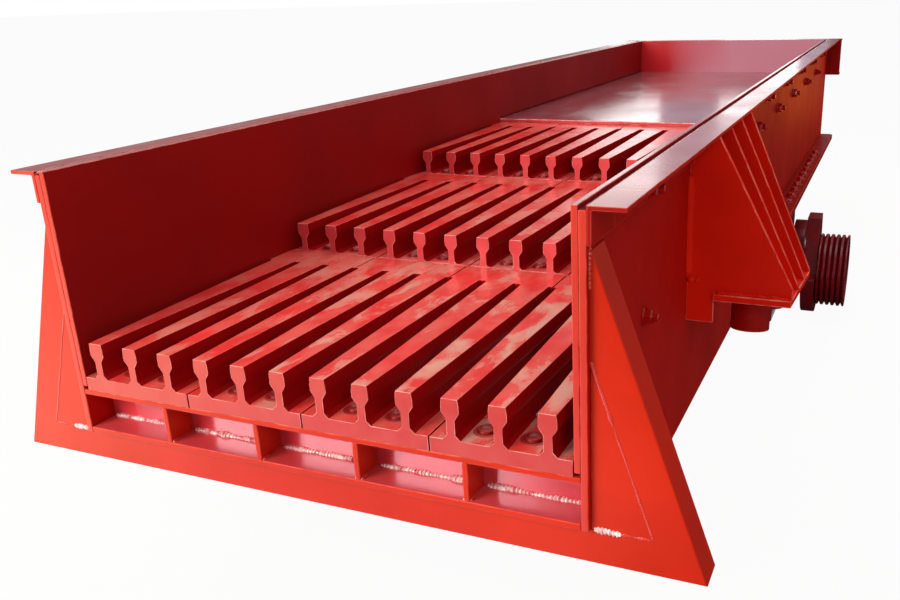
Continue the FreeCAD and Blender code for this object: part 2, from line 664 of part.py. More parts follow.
for side in (-1, 1):
    middle = f"({sideOut} - rear_guide_inset) * {side}"
    across = (f"{middle} - rear_seat_width / 2", f"{middle} + rear_seat_width / 2")
    rearSeats.append(prism(f"rear_seat_{len(rearSeats)}", "YZ", rearSeat, *across))
    rearGuides.append(springGuide(f"rear_guide_{len(rearGuides)}", middle,
                                  "rear_beam_width / 2 / cos(seat_tilt)", "0"))
node(group("rear_seats", *rearSeats), "rear_seats")
rearSet = group("rear_guides", *rearGuides)
rearSet.Placement.Rotation = FreeCAD.Rotation(FreeCAD.Vector(-1, 0, 0), value("seat_tilt"))
rearSet.setExpression("Placement.Rotation.Angle", ex("seat_tilt"))
place(rearSet, y=rearFront, z=f"{beamLow} - rear_seat_thick")
node(group("spring_guides", frontGuides, frontTwins, rearSet), "spring_guides")

# Exciter casing: two half shells split at the shafts' level, with bearing seats in their end walls
casingAcross = (f"-{casingEnd}", casingEnd)
insideAcross = (f"-{insideEnd}", insideEnd)
insideDepth = (f"{casingFront} + casing_wall", f"{casingRear} - casing_wall")
flangeDepth = (f"{casingFront} - split_flange", f"{casingRear} + split_flange")
bearingSeats = []
for name, station in (("front", shaftFront), ("rear", shaftRear)):
    bore = cylinder(f"bearing_bore_{name}", "bearing_radius", *casingAcross)
    bearingSeats.append(place(bore, y=station, z="-shaft_drop"))
shells = {
    "upper": ("-shaft_drop", bridgeUnder, "-shaft_drop", f"{bridgeUnder} - casing_wall",
              "-shaft_drop", "-shaft_drop + split_thick"),
    "lower": ("-shaft_drop - casing_sump", "-shaft_drop", "-shaft_drop - casing_sump + casing_wall",
              "-shaft_drop", "-shaft_drop - split_thick", "-shaft_drop"),
}
for name, (low, high, insideLow, insideHigh, flangeLow, flangeHigh) in shells.items():
    block = box(f"casing_block_{name}", casingAcross, (casingFront, casingRear), (low, high))
    flange = box(f"casing_flange_{name}", casingAcross, flangeDepth, (flangeLow, flangeHigh))
    inside = box(f"casing_inside_{name}", insideAcross, insideDepth, (insideLow, insideHigh))
    solid = fuse(f"casing_solid_{name}", block, flange)
    room = fuse(f"casing_room_{name}", inside, *bearingSeats)
    node(cut(f"casing_{name}", solid, room), f"casing_{name}")


def onShaft(piece, station):
    return place(piece, y=station, z="-shaft_drop")


# Bearings: one in each seat of the end walls, standing proud of the wall's outer face
bearings = []
for side, (low, high) in (("right", (insideEnd, bearingEnd)), ("left", (f"-{bearingEnd}", f"-{insideEnd}"))):
    for name, station in (("front", shaftFront), ("rear", shaftRear)):
        title = f"bearing_{name}_{side}"
        ring = cut(title + "_ring", cylinder(title + "_outer", "bearing_radius - seat_gap", low, high),
                   cylinder(title + "_eye", "journal_radius + running_gap", low, high))
        bearings.append(onShaft(group(title, ring), station))
node(group("bearings", *bearings), "bearings")

# Shafts: journals right through, thicker between the bearings
shaftShoulder = f"({insideEnd} - gear_inset)"
gearIn = f"({shaftShoulder} - gear_width)"


def shaft(name, station, low, high):
    journal = cylinder(name + "_journal", "journal_radius", low, high)
    body = cylinder(name + "_body", "shaft_body", f"-{shaftShoulder}", gearIn)
    return node(onShaft(group(name, fuse(name + "_bar", journal, body)), station), name)


shaft("drive_shaft", shaftFront, f"-{driveEnd}", f"{sheaveOut} - shaft_recess")
shaft("driven_shaft", shaftRear, f"-{drivenEnd}", drivenEnd)


def timingGear(name, station, phase):
    # A spur gear with straight-flanked teeth; phase turns it by a share of one tooth
    piece = doc.addObject("Part::Feature", name)
    pitchRadius = value("shaft_spacing") / 2
    step = 2 * math.pi / gearTeeth
    foot = (value("tooth_foot") / 2, pitchRadius - value("gear_dedendum"))
    tip = (value("tooth_tip") / 2, pitchRadius + value("gear_addendum"))
    points = []
    for tooth in range(gearTeeth):
        for side, (turn, radius) in ((-1, foot), (-1, tip), (1, tip), (1, foot)):
            angle = (tooth + phase + side * turn) * step
            points.append(FreeCAD.Vector(0, radius * math.cos(angle), radius * math.sin(angle)))
    face = Part.Face(Part.makePolygon(points + points[:1]))
    along = FreeCAD.Vector(value("gear_width"), 0, 0)
    eye = Part.makeCylinder(value("journal_radius"), value("gear_width"), FreeCAD.Vector(), along)
    piece.Shape = face.extrude(along).cut(eye)
    return node(place(piece, x=gearIn, y=station, z="-shaft_drop"), name)


timingGear("drive_gear", shaftFront, 0)
timingGear("driven_gear", shaftRear, 0.5)


def eccentricWeight(name, top, low, high):
    # A half disc that hangs from the shaft, closed above by the given top
    disc = cylinder(name + "_disc", "weight_radius", low, high)
    above = box(name + "_above", (low, high), ("-weight_radius", "weight_radius"), ("0", "weight_radius"))
    half = cut(name + "_half", disc, above)
    eye = cylinder(name + "_eye", "journal_radius", low, high)
    return cut(name, fuse(name + "_solid", half, top(name, low, high)), eye)


def lugTop(name, low, high):
    lug = [("-lug_foot / 2", "0"), ("lug_foot / 2", "0"), ("lug_width / 2", "lug_radius"),
           ("-lug_width / 2", "lug_radius")]
    return prism(name + "_lug", "YZ", lug, low, high)


def hubTop(name, low, high):
    return cylinder(name + "_hub", "hub_radius", low, high)


def weightPair(name, top, inner):
    far = f"({inner} + weight_thick)"
    right = eccentricWeight(name + "_right", top, inner, far)
    left = eccentricWeight(name + "_left", top, f"-{far}", f"-{inner}")
    return [right, left]


# Belt sheave: a grooved rim, a web and a boss, turned from one casting
sheaveProfile = [(sheaveIn, "journal_radius"), (sheaveIn, "sheave_radius")]
for groove in range(grooveCount):
    middle = f"{sheaveIn} + sheave_edge + groove_pitch * {groove}"
    sheaveProfile += [
        (f"{middle} - groove_width / 2", "sheave_radius"),
        (middle, "sheave_radius - groove_depth"),
        (f"{middle} + groove_width / 2", "sheave_radius"),
    ]
dishIn = f"({sheaveOut} - sheave_dish)"
rimUnder = "(sheave_radius - groove_depth - rim_wall)"
sheaveProfile += [
    (sheaveOut, "sheave_radius"),
    (sheaveOut, rimUnder),
    (dishIn, rimUnder),
    (dishIn, "journal_radius"),
]
turned = doc.addObject("Part::Revolution", "sheave_turned")
turned.Source = outline("sheave_profile", "XZ", sheaveProfile)
turned.Axis = FreeCAD.Vector(1, 0, 0)
turned.Angle = 360
turned.Solid = True

# Everything keyed to the ends of each shaft
node(onShaft(group("drive_wheels", *weightPair("drive_weight", lugTop, outerWeight), turned), shaftFront),
     "drive_wheels")
node(onShaft(group("driven_wheels", *weightPair("driven_weight", hubTop, innerWeight)), shaftRear),
     "driven_wheels")

doc.recompute()
for piece in doc.Objects:
    if "Invalid" in piece.State or "Error" in piece.State:
        raise RuntimeError(f"{piece.Name} did not build: {piece.State}")
for piece in nodes:
    if piece.Shape.isNull() or not piece.Shape.isValid() or not piece.Shape.Solids:
        raise RuntimeError(f"{piece.Label} is not a valid solid")
os.makedirs("parts", exist_ok=True)
for piece in nodes:
    piece.Shape.exportStep(f"parts/{piece.Label}.step")
print(len(nodes), "pieces written")
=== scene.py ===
# Vibrating grizzly feeder in red enamel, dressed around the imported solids.
# Metres, in the solids' own frame: X across the trough, Y from the discharge end to the feed end, Z up.
import json
import math

import bmesh
import bpy
import numpy as np
from mathutils import Euler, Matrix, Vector

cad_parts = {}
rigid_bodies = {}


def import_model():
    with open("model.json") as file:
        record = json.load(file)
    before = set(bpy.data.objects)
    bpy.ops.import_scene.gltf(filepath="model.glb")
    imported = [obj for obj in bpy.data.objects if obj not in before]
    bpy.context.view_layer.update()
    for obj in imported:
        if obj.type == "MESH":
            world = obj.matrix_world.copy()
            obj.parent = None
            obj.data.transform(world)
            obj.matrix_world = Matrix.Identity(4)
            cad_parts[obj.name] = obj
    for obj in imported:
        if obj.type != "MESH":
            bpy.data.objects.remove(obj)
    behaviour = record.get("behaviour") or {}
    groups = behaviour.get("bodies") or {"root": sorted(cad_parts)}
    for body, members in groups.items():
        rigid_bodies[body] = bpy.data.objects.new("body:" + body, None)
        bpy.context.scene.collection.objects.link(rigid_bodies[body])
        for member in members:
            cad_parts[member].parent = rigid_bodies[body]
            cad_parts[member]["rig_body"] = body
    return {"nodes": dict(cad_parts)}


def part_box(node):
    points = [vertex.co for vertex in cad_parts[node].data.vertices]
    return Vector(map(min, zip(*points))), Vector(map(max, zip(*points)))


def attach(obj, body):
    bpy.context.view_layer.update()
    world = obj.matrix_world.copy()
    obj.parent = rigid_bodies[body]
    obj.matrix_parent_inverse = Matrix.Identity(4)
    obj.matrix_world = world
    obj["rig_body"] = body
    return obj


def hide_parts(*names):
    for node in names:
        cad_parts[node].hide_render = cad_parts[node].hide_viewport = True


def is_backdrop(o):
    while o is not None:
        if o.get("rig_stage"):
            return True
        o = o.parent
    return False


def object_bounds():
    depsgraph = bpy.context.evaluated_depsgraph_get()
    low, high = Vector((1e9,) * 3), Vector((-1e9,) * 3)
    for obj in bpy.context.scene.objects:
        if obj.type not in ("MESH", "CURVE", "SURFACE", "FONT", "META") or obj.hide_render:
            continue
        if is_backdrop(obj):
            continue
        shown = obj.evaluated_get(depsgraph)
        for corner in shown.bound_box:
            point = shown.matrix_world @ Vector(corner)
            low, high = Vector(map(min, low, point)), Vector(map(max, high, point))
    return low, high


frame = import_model()
cadLow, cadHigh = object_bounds()
scene = bpy.context.scene
mm = 0.001
across, along, up = np.eye(3)
sides = {"right": 1, "left": -1}
tiers = ("lower", "middle", "upper")
rng = np.random.default_rng(11)
print("solids loaded:", len(frame["nodes"]))


def linear(code):
    # sRGB hex colour to linear light
    parts = np.array([int(code[k:k + 2], 16) for k in (1, 3, 5)]) / 255
    lit = np.where(parts <= 0.04045, parts / 12.92, ((parts + 0.055) / 1.055) ** 2.4)
    return (*lit.tolist(), 1.0)


def addNode(tree, kind, settings=None, links=None):
    # A setting goes to the node's property of that name, or else to its input; a link goes to an input
    made = tree.nodes.new(kind)
    for key, value in (settings or {}).items():
        if isinstance(key, str) and hasattr(made, key):
            setattr(made, key, value)
        else:
            made.inputs[key].default_value = value
    for key, socket in (links or {}).items():
        tree.links.new(socket, made.inputs[key])
    return made


# Sprayed alkyd enamel over steel plate: a glossy film of uneven depth, painted pale on the edges where it
# wears thin and as a painted highlight, that ripples like orange peel and carries dust where it faces up; on
# the deck and on the tops of rims and liners that film stands mostly for a painted grey sheen. Sizes in mm;
# the peel of the real film is
# 2 to 4 mm, drawn coarser so that it shows. Some finishes add a clear coat, a zone where stone rubs it, dust
# that lies in milky patches, or a painted reflection that fades in across X.
enamelFinishes = {
    "frameEnamel": {"paint": "#BE1E0A", "deep": "#AC1607", "bright": "#E0523A", "dustAndSheen": "#D8A090",
                    "rough": 0.36, "spec": 0.30, "tint": "#FFB878", "cloud": 260, "peel": 14, "wave": 190,
                    "waveDepth": 0.5, "peelDepth": 0.10, "edge": 0.45, "film": 0.04, "patch": 0.0},
    "edgeEnamel": {"paint": "#C03024", "deep": "#B0261C", "bright": "#E0523A", "dustAndSheen": "#D8A090",
                   "rough": 0.36, "spec": 0.34, "tint": "#FFC8B0", "cloud": 260, "peel": 14, "wave": 190,
                   "waveDepth": 0.5, "peelDepth": 0.10, "edge": 0.45, "film": 0.04, "patch": 0.0},
    # Floor and back of the discharge cells: red painted pinker than the frame, partly a painted reflection
    "beamPaintAndSheen": {"paint": "#CA3A42", "deep": "#B82C34", "bright": "#E0523A", "dustAndSheen": "#D8A090",
                   "rough": 0.16, "spec": 1.0, "tint": "#FAE0F6", "cloud": 180, "peel": 14, "wave": 120,
                   "waveDepth": 0.4, "peelDepth": 0.05, "edge": 0.45, "film": 0.05, "patch": 0.0,
                   "coat": 0.6},
    # Tops of the rims and liners: a grey film over dark red, standing mostly for a painted sheen
    "rimSheenEnamel": {"paint": "#8E1C1C", "deep": "#801616", "bright": "#E07868", "dustAndSheen": "#B6B6B8",
                  "rough": 0.15, "spec": 0.55, "tint": "#FFF0F0", "cloud": 240, "peel": 14, "wave": 260,
                  "waveDepth": 0.3, "peelDepth": 0.05, "edge": 0.4, "film": 0.17, "patch": 0.05},
    # Inner faces of the side liners: the frame's red painted darker, painted shade; their front and top faces
    # keep lighter copies
    "shadedWallEnamel": {"paint": "#8C0A0A", "deep": "#7C0607", "bright": "#D8604E", "dustAndSheen": "#B06054",
                   "rough": 0.44, "spec": 0.20, "tint": "#FFD0C0", "cloud": 420, "peel": 16, "wave": 320,
                   "waveDepth": 0.7, "peelDepth": 0.08, "edge": 0.8, "film": 0.05, "patch": 0.0},
    # Rear wall: lilac paint over red, a painted reflection
    "rearWallSheenEnamel": {"paint": "#B27484", "deep": "#B01C22", "bright": "#C87A7E", "dustAndSheen": "#C98A8A",
                   "rough": 0.24, "spec": 0.3, "tint": "#FFE8E8", "cloud": 380, "peel": 16, "wave": 300,
                   "waveDepth": 0.5, "peelDepth": 0.05, "edge": 0.5, "film": 0.05, "patch": 0.0,
                   "sheenSweep": (-0.34, 0.0)},
    "sideEnamel": {"paint": "#B4120A", "deep": "#9E0B06", "bright": "#D44A34", "dustAndSheen": "#B85A48",
                   "rough": 0.46, "spec": 0.06, "tint": "#FFC0A0", "cloud": 330, "peel": 15, "wave": 260,
                   "waveDepth": 0.6, "peelDepth": 0.08, "edge": 0.6, "film": 0.04, "patch": 0.0},
    "bracketEnamel": {"paint": "#D41A0A", "deep": "#C01406", "bright": "#E8A090", "dustAndSheen": "#B85A48",
                      "rough": 0.42, "spec": 0.12, "tint": "#FFC8A8", "cloud": 200, "peel": 15, "wave": 160,
                      "waveDepth": 0.5, "peelDepth": 0.08, "edge": 0.55, "film": 0.04, "patch": 0.0},
    # Maroon of the spring guides and the exciter's rails; it also paints shade on the rear wall's ends
    # outside the side plates and on the right rim's front end
    "guideEnamelAndShade": {"paint": "#960C0C", "deep": "#840808", "bright": "#C84A38", "dustAndSheen": "#A05A4C",
                    "rough": 0.42, "spec": 0.12, "tint": "#FFD0C0", "cloud": 150, "peel": 14, "wave": 120,
                    "waveDepth": 0.4, "peelDepth": 0.08, "edge": 0.5, "film": 0.04, "patch": 0.0},
    # Deck: a grey film over dark red, standing mostly for a painted sheen
    "deckSheenEnamel": {"paint": "#7C141A", "deep": "#6C0E14", "bright": "#DE7A70", "dustAndSheen": "#A69EA6",
                   "rough": 0.12, "spec": 0.6, "tint": "#FFFFFF", "cloud": 300, "peel": 18, "wave": 420,
                   "waveDepth": 0.4, "peelDepth": 0.015, "edge": 0.7, "film": 0.13, "patch": 0.06},
    "castEnamel": {"paint": "#CE2A2A", "deep": "#BC2020", "bright": "#E88A80", "dustAndSheen": "#B08E7C",
                   "rough": 0.18, "spec": 0.45, "tint": "#FFE4DE", "cloud": 120, "peel": 11, "wave": 60,
                   "waveDepth": 0.12, "peelDepth": 0.015, "edge": 0.5, "film": 0.12, "patch": 0.54,
                   "milk": 0.7, "zone": {"X": (-0.50, 0.0), "Y": (1.10, 0.40)}},
    # Front faces of the lower tier's castings: the cast red painted darker, painted shade
    "castFrontShade": {"paint": "#AE2218", "deep": "#B23830", "bright": "#F2B4A8", "dustAndSheen": "#CDB4A4",
                 "rough": 0.36, "spec": 0.4, "tint": "#FFE0D8", "cloud": 55, "peel": 11, "wave": 50,
                 "waveDepth": 0.5, "peelDepth": 0.22, "edge": 0.75, "film": 0.05, "patch": 0.0},
    # Front faces of the middle and upper tiers and the deck's front end: the cast red painted pinker, a
    # painted reflection
    "castFrontSheen": {"paint": "#D0484C", "deep": "#C03A40", "bright": "#F6C0BA", "dustAndSheen": "#CDB4A4",
                     "rough": 0.34, "spec": 0.4, "tint": "#FFE8E8", "cloud": 60, "peel": 11, "wave": 50,
                     "waveDepth": 0.5, "peelDepth": 0.22, "edge": 0.8, "film": 0.05, "patch": 0.0},
    # Faces of the castings other than tops and front faces: the cast red painted darker, painted shade inside
    # the slots
    "castFlankShade": {"paint": "#960A0C", "deep": "#860608", "bright": "#C03A38", "dustAndSheen": "#B08A80",
                  "rough": 0.55, "spec": 0.02, "tint": "#FFD0C0", "cloud": 120, "peel": 11, "wave": 60,
                  "waveDepth": 0.35, "peelDepth": 0.10, "edge": 0.3, "film": 0.05, "patch": 0.0},
    # Side plates' tops down in the groove under the rims: near-black maroon, painted shade
    "gapShadeEnamel": {"paint": "#4E0508", "deep": "#3C0305", "bright": "#7A2018", "dustAndSheen": "#704038",
                  "rough": 0.55, "spec": 0.05, "tint": "#FFD0C0", "cloud": 200, "peel": 14, "wave": 150,
                  "waveDepth": 0.3, "peelDepth": 0.10, "edge": 0.3, "film": 0.04, "patch": 0.0},
    # Weld beads drawn near white in a red mottle: painted glints
    "beadGlintEnamel": {"paint": "#FFF0F0", "deep": "#C04650", "bright": "#F8DCD8", "dustAndSheen": "#F4ECEA",
                   "rough": 0.18, "spec": 1.0, "tint": "#FFFFFF", "cloud": 11, "peel": 7, "wave": 20,
                   "waveDepth": 1.2, "peelDepth": 0.5, "edge": 0.0, "film": 0.06, "patch": 0.2},
    "seamEnamel": {"paint": "#C8281A", "deep": "#B01A10", "bright": "#E87060", "dustAndSheen": "#D8A090",
                   "rough": 0.20, "spec": 0.7, "tint": "#FFE0D0", "cloud": 20, "peel": 9, "wave": 24,
                   "waveDepth": 0.5, "peelDepth": 0.2, "edge": 0.0, "film": 0.05, "patch": 0.1},
    "nutEnamel": {"paint": "#A8100A", "deep": "#920B06", "bright": "#C84838", "dustAndSheen": "#8A4A40",
                  "rough": 0.16, "spec": 0.40, "tint": "#FFFFFF", "cloud": 40, "peel": 10, "wave": 30,
                  "waveDepth": 0.2, "peelDepth": 0.10, "edge": 0.4, "film": 0.04, "patch": 0.0},
    "boltEnamel": {"paint": "#8E1012", "deep": "#740B0D", "bright": "#C86058", "dustAndSheen": "#A8746A",
                   "rough": 0.34, "spec": 0.25, "tint": "#FFD8D0", "cloud": 40, "peel": 10, "wave": 30,
                   "waveDepth": 0.2, "peelDepth": 0.10, "edge": 0.4, "film": 0.06, "patch": 0.15},
    "exciterEnamel": {"paint": "#700610", "deep": "#54030A", "bright": "#8C2A32", "dustAndSheen": "#80423E",
                      "rough": 0.30, "spec": 0.3, "tint": "#FFE0E0", "cloud": 90, "peel": 12, "wave": 80,
                      "waveDepth": 0.3, "peelDepth": 0.15, "edge": 0.35, "film": 0.06, "patch": 0.1},
}

# How the film lies on every finish: sizes in mm, the rest are shares
filmHabits = {"chip": 28, "patchAcross": 90, "patchAlong": 170, "fineness": 1.7, "leastRub": 0.15,
              "milk": 0.15, "sway": 0.35, "swayMiddle": 0.17, "glossSpread": 0.05, "filmMatt": 0.3,
              "coatRough": 0.10}


def enamel(name):
    finish = enamelFinishes[name]
    paint = bpy.data.materials.new(name)
    paint.use_nodes = True
    tree = paint.node_tree
    shader = tree.nodes["Principled BSDF"]
    where = addNode(tree, "ShaderNodeTexCoord").outputs["Object"]
    cloud = addNode(tree, "ShaderNodeTexNoise", {"Scale": 1 / (finish["cloud"] * mm), "Detail": 4.0},
                    {"Vector": where})
    cloudy = addNode(tree, "ShaderNodeMapRange", {"From Min": 0.32, "From Max": 0.68},
                     {"Value": cloud.outputs["Fac"]})
    spot = addNode(tree, "ShaderNodeSeparateXYZ", links={"Vector": where})
    if "sheenSweep" in finish:
        # A painted reflection fades in across X: from the deep red at one place to the lilac sheen paint at
        # the other
        swayed = addNode(tree, "ShaderNodeMath", {"operation": "MULTIPLY_ADD", 1: filmHabits["sway"]},
                         {0: cloud.outputs["Fac"], 2: spot.outputs["X"]})
        redEnd, full = (place + filmHabits["swayMiddle"] for place in finish["sheenSweep"])
        cloudy = addNode(tree, "ShaderNodeMapRange", {"From Min": redEnd, "From Max": full},
                         {"Value": swayed.outputs["Value"]})
    body = addNode(tree, "ShaderNodeMix", {"data_type": "RGBA", 6: linear(finish["deep"]),
                                           7: linear(finish["paint"])}, {0: cloudy.outputs["Result"]})
    # Paint on a rounded edge is thin and pulled back in places, and is painted paler there: partly wear,
    # partly a painted highlight where the edge would catch the light
    edge = addNode(tree, "ShaderNodeAttribute", {"attribute_name": "edge"})
    chips = addNode(tree, "ShaderNodeTexNoise", {"Scale": 1 / (filmHabits["chip"] * mm), "Detail": 3.0},
                    {"Vector": where})
    chipped = addNode(tree, "ShaderNodeMapRange", {"From Min": 0.38, "From Max": 0.62,
                                                   "To Min": 0.10, "To Max": 1.0},
                      {"Value": chips.outputs["Fac"]})
    onEdge = addNode(tree, "ShaderNodeMath", {"operation": "MULTIPLY"},
                     {0: edge.outputs["Fac"], 1: chipped.outputs["Result"]})
    edgeShare = addNode(tree, "ShaderNodeMath", {"operation": "MULTIPLY", 1: finish["edge"]},
                        {0: onEdge.outputs["Value"]})
    paleEdgeAndHighlight = addNode(tree, "ShaderNodeMix", {"data_type": "RGBA", 7: linear(finish["bright"])},
                    {0: edgeShare.outputs["Value"], 6: body.outputs[2]})
    # Dust lies on faces that look up: a thin film, and rubbed patches drawn out along the trough. On the deck
    # and on the tops of rims and liners the grey film stands mostly for a painted sheen
    normal = addNode(tree, "ShaderNodeNewGeometry").outputs["Normal"]
    tilt = addNode(tree, "ShaderNodeSeparateXYZ", links={"Vector": normal})
    facing = addNode(tree, "ShaderNodeMapRange", {"From Min": 0.72, "From Max": 0.96},
                     {"Value": tilt.outputs["Z"]})
    wide, long = (1 / (filmHabits[size] * mm) for size in ("patchAcross", "patchAlong"))
    drawn = addNode(tree, "ShaderNodeMapping", {"Scale": (wide, long, wide)}, {"Vector": where})
    patches = addNode(tree, "ShaderNodeTexNoise", {"Scale": 1.0, "Detail": 6.0, "Roughness": 0.62,
                                                   "Distortion": 0.3}, {"Vector": drawn.outputs["Vector"]})
    streaks = addNode(tree, "ShaderNodeTexNoise", {"Scale": filmHabits["fineness"], "Detail": 5.0,
                                                   "Roughness": 0.55}, {"Vector": drawn.outputs["Vector"]})
    rubbed = addNode(tree, "ShaderNodeMapRange", {"From Min": 0.50, "From Max": 0.60,
                                                  "To Max": finish["patch"]},
                     {"Value": patches.outputs["Fac"]}).outputs["Result"]
    # A zone gives the places along X and Y where the rubbing is least and where it is full
    for axis, (least, most) in finish.get("zone", {}).items():
        fade = addNode(tree, "ShaderNodeMapRange", {"From Min": least, "From Max": most,
                                                    "To Min": filmHabits["leastRub"]},
                       {"Value": spot.outputs[axis]})
        rubbed = addNode(tree, "ShaderNodeMath", {"operation": "MULTIPLY"},
                         {0: rubbed, 1: fade.outputs["Result"]}).outputs["Value"]
    milk = finish.get("milk", filmHabits["milk"])
    milky = addNode(tree, "ShaderNodeMapRange", {"From Min": 0.40, "From Max": 0.60,
                                                 "To Min": finish["film"] * (1 - milk),
                                                 "To Max": finish["film"] * (1 + milk)},
                    {"Value": streaks.outputs["Fac"]})
    covered = addNode(tree, "ShaderNodeMath", {"operation": "ADD"}, {0: rubbed, 1: milky.outputs["Result"]})
    dustAndSheenShare = addNode(tree, "ShaderNodeMath", {"operation": "MULTIPLY", "use_clamp": True},
                    {0: facing.outputs["Result"], 1: covered.outputs["Value"]})
    dustAndSheenMix = addNode(tree, "ShaderNodeMix", {"data_type": "RGBA", 7: linear(finish["dustAndSheen"])},
                     {0: dustAndSheenShare.outputs["Value"], 6: paleEdgeAndHighlight.outputs[2]})
    tree.links.new(dustAndSheenMix.outputs[2], shader.inputs["Base Color"])
    sheen = addNode(tree, "ShaderNodeMapRange", {"To Min": finish["rough"] + filmHabits["glossSpread"],
                                                 "To Max": finish["rough"] - filmHabits["glossSpread"]},
                    {"Value": cloudy.outputs["Result"]})
    matt = addNode(tree, "ShaderNodeMath", {"operation": "MULTIPLY_ADD", 1: filmHabits["filmMatt"]},
                   {0: dustAndSheenShare.outputs["Value"], 2: sheen.outputs["Result"]})
    tree.links.new(matt.outputs["Value"], shader.inputs["Roughness"])
    shader.inputs["Specular IOR Level"].default_value = finish["spec"]
    shader.inputs["Specular Tint"].default_value = linear(finish["tint"])
    shader.inputs["Coat Weight"].default_value = finish.get("coat", 0.0)
    shader.inputs["Coat Roughness"].default_value = filmHabits["coatRough"]
    # Plate that is never quite flat, under the peel of the film
    wave = addNode(tree, "ShaderNodeTexNoise", {"Scale": 1 / (finish["wave"] * mm), "Detail": 2.0},
                   {"Vector": where})
    plate = addNode(tree, "ShaderNodeBump", {"Strength": 1.0, "Distance": finish["waveDepth"] * mm},
                    {"Height": wave.outputs["Fac"]})
    peel = addNode(tree, "ShaderNodeTexNoise", {"Scale": 1 / (finish["peel"] * mm), "Detail": 3.0},
                   {"Vector": where})
    film = addNode(tree, "ShaderNodeBump", {"Strength": 1.0, "Distance": finish["peelDepth"] * mm},
                   {"Height": peel.outputs["Fac"], "Normal": plate.outputs["Normal"]})
    tree.links.new(film.outputs["Normal"], shader.inputs["Normal"])
    return paint


paints = {name: enamel(name) for name in enamelFinishes}

# Machined steel, bare and oily: fine turning marks round the shafts' axes, drawn 3 to 4 mm apart so that they
# show, under an oil film that darkens and shines in patches
steelFinishes = {
    "groundShaftSteel": {"colour": "#A6A4A1", "rough": 0.28, "marks": 3.0},
    "cutGearSteel": {"colour": "#8C8A86", "rough": 0.36, "marks": 4.0},
    "bearingRingSteel": {"colour": "#B2B1AE", "rough": 0.24, "marks": 3.0},
}
steelHabits = {"oil": 60, "oilTone": "#5C5650", "shinier": 0.08, "duller": 0.12, "markRound": 125,
               "markDepth": 0.05}


def steel(name):
    finish = steelFinishes[name]
    metal = bpy.data.materials.new(name)
    metal.use_nodes = True
    tree = metal.node_tree
    shader = tree.nodes["Principled BSDF"]
    where = addNode(tree, "ShaderNodeTexCoord").outputs["Object"]
    fine, drawn = 1 / (finish["marks"] * mm), 1 / (steelHabits["markRound"] * mm)
    lathe = addNode(tree, "ShaderNodeMapping", {"Scale": (fine, drawn, drawn)}, {"Vector": where})
    marks = addNode(tree, "ShaderNodeTexNoise", {"Scale": 1.0, "Detail": 2.0},
                    {"Vector": lathe.outputs["Vector"]})
    oil = addNode(tree, "ShaderNodeTexNoise", {"Scale": 1 / (steelHabits["oil"] * mm), "Detail": 4.0},
                  {"Vector": where})
    gloss = addNode(tree, "ShaderNodeMapRange", {"To Min": finish["rough"] - steelHabits["shinier"],
                                                 "To Max": finish["rough"] + steelHabits["duller"]},
                    {"Value": oil.outputs["Fac"]})
    tone = addNode(tree, "ShaderNodeMix", {"data_type": "RGBA", 6: linear(steelHabits["oilTone"]),
                                           7: linear(finish["colour"])}, {0: oil.outputs["Fac"]})
    tree.links.new(tone.outputs[2], shader.inputs["Base Color"])
    tree.links.new(gloss.outputs["Result"], shader.inputs["Roughness"])
    turned = addNode(tree, "ShaderNodeBump", {"Strength": 0.5, "Distance": steelHabits["markDepth"] * mm},
                     {"Height": marks.outputs["Fac"]})
    tree.links.new(turned.outputs["Normal"], shader.inputs["Normal"])
    shader.inputs["Metallic"].default_value = 1.0
    return metal


metals = {name: steel(name) for name in steelFinishes}
print("finishes mixed:", len(paints) + len(metals))


def putIn(obj, body, replaced=()):
    scene.collection.objects.link(obj)
    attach(obj, body)
    if replaced:
        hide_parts(*replaced)


def gathered(items, near):
    # Groups of items that hang together through near, in the mesh's own order so that every run is alike
    seen, groups = set(), []
    for item in items:
        group = [] if item in seen else [item]
        seen.update(group)
        for member in group:
            fresh = [other for other in dict.fromkeys(near(member)) if other not in seen]
            seen.update(fresh)
            group += fresh
        if group:
            groups.append(group)
    return groups


def bend(edge):
    # Angle between an edge's two faces: above zero on an outer edge, below it in an inner corner
    return edge.calc_face_angle_signed(0) if len(edge.link_faces) == 2 else 0.0


def roundEdges(work, pick, width, steps, mark):
    # Rounds the picked edges of each separate solid by itself, so that one short edge doesn't limit the rest
    solids = gathered(work.faces, lambda face: [other for e in face.edges for other in e.link_faces])
    groups = [list(dict.fromkeys(e for face in solid for e in face.edges if pick(e))) for solid in solids]
    shade = work.faces.layers.float["edge"]
    for edges in filter(None, groups):
        made = bmesh.ops.bevel(work, geom=edges, offset=width, offset_type="OFFSET", segments=steps,
                               profile=0.5, affect="EDGES", clamp_overlap=True)
        for face in made["faces"]:
            face[shade] = mark


# How faces and edges are told apart: mm, degrees, and parts of a face's normal
plateRules = {"merge": 0.01, "flat": 0.3, "outer": 34, "inner": 70, "crease": 50, "frontDepth": 20,
              "wallOut": 502, "facing": 0.6, "sideways": 0.5, "under": 0.3,
              "cornerSteps": 2, "hollowSteps": 3, "foldSteps": 4, "flatWeight": 100}


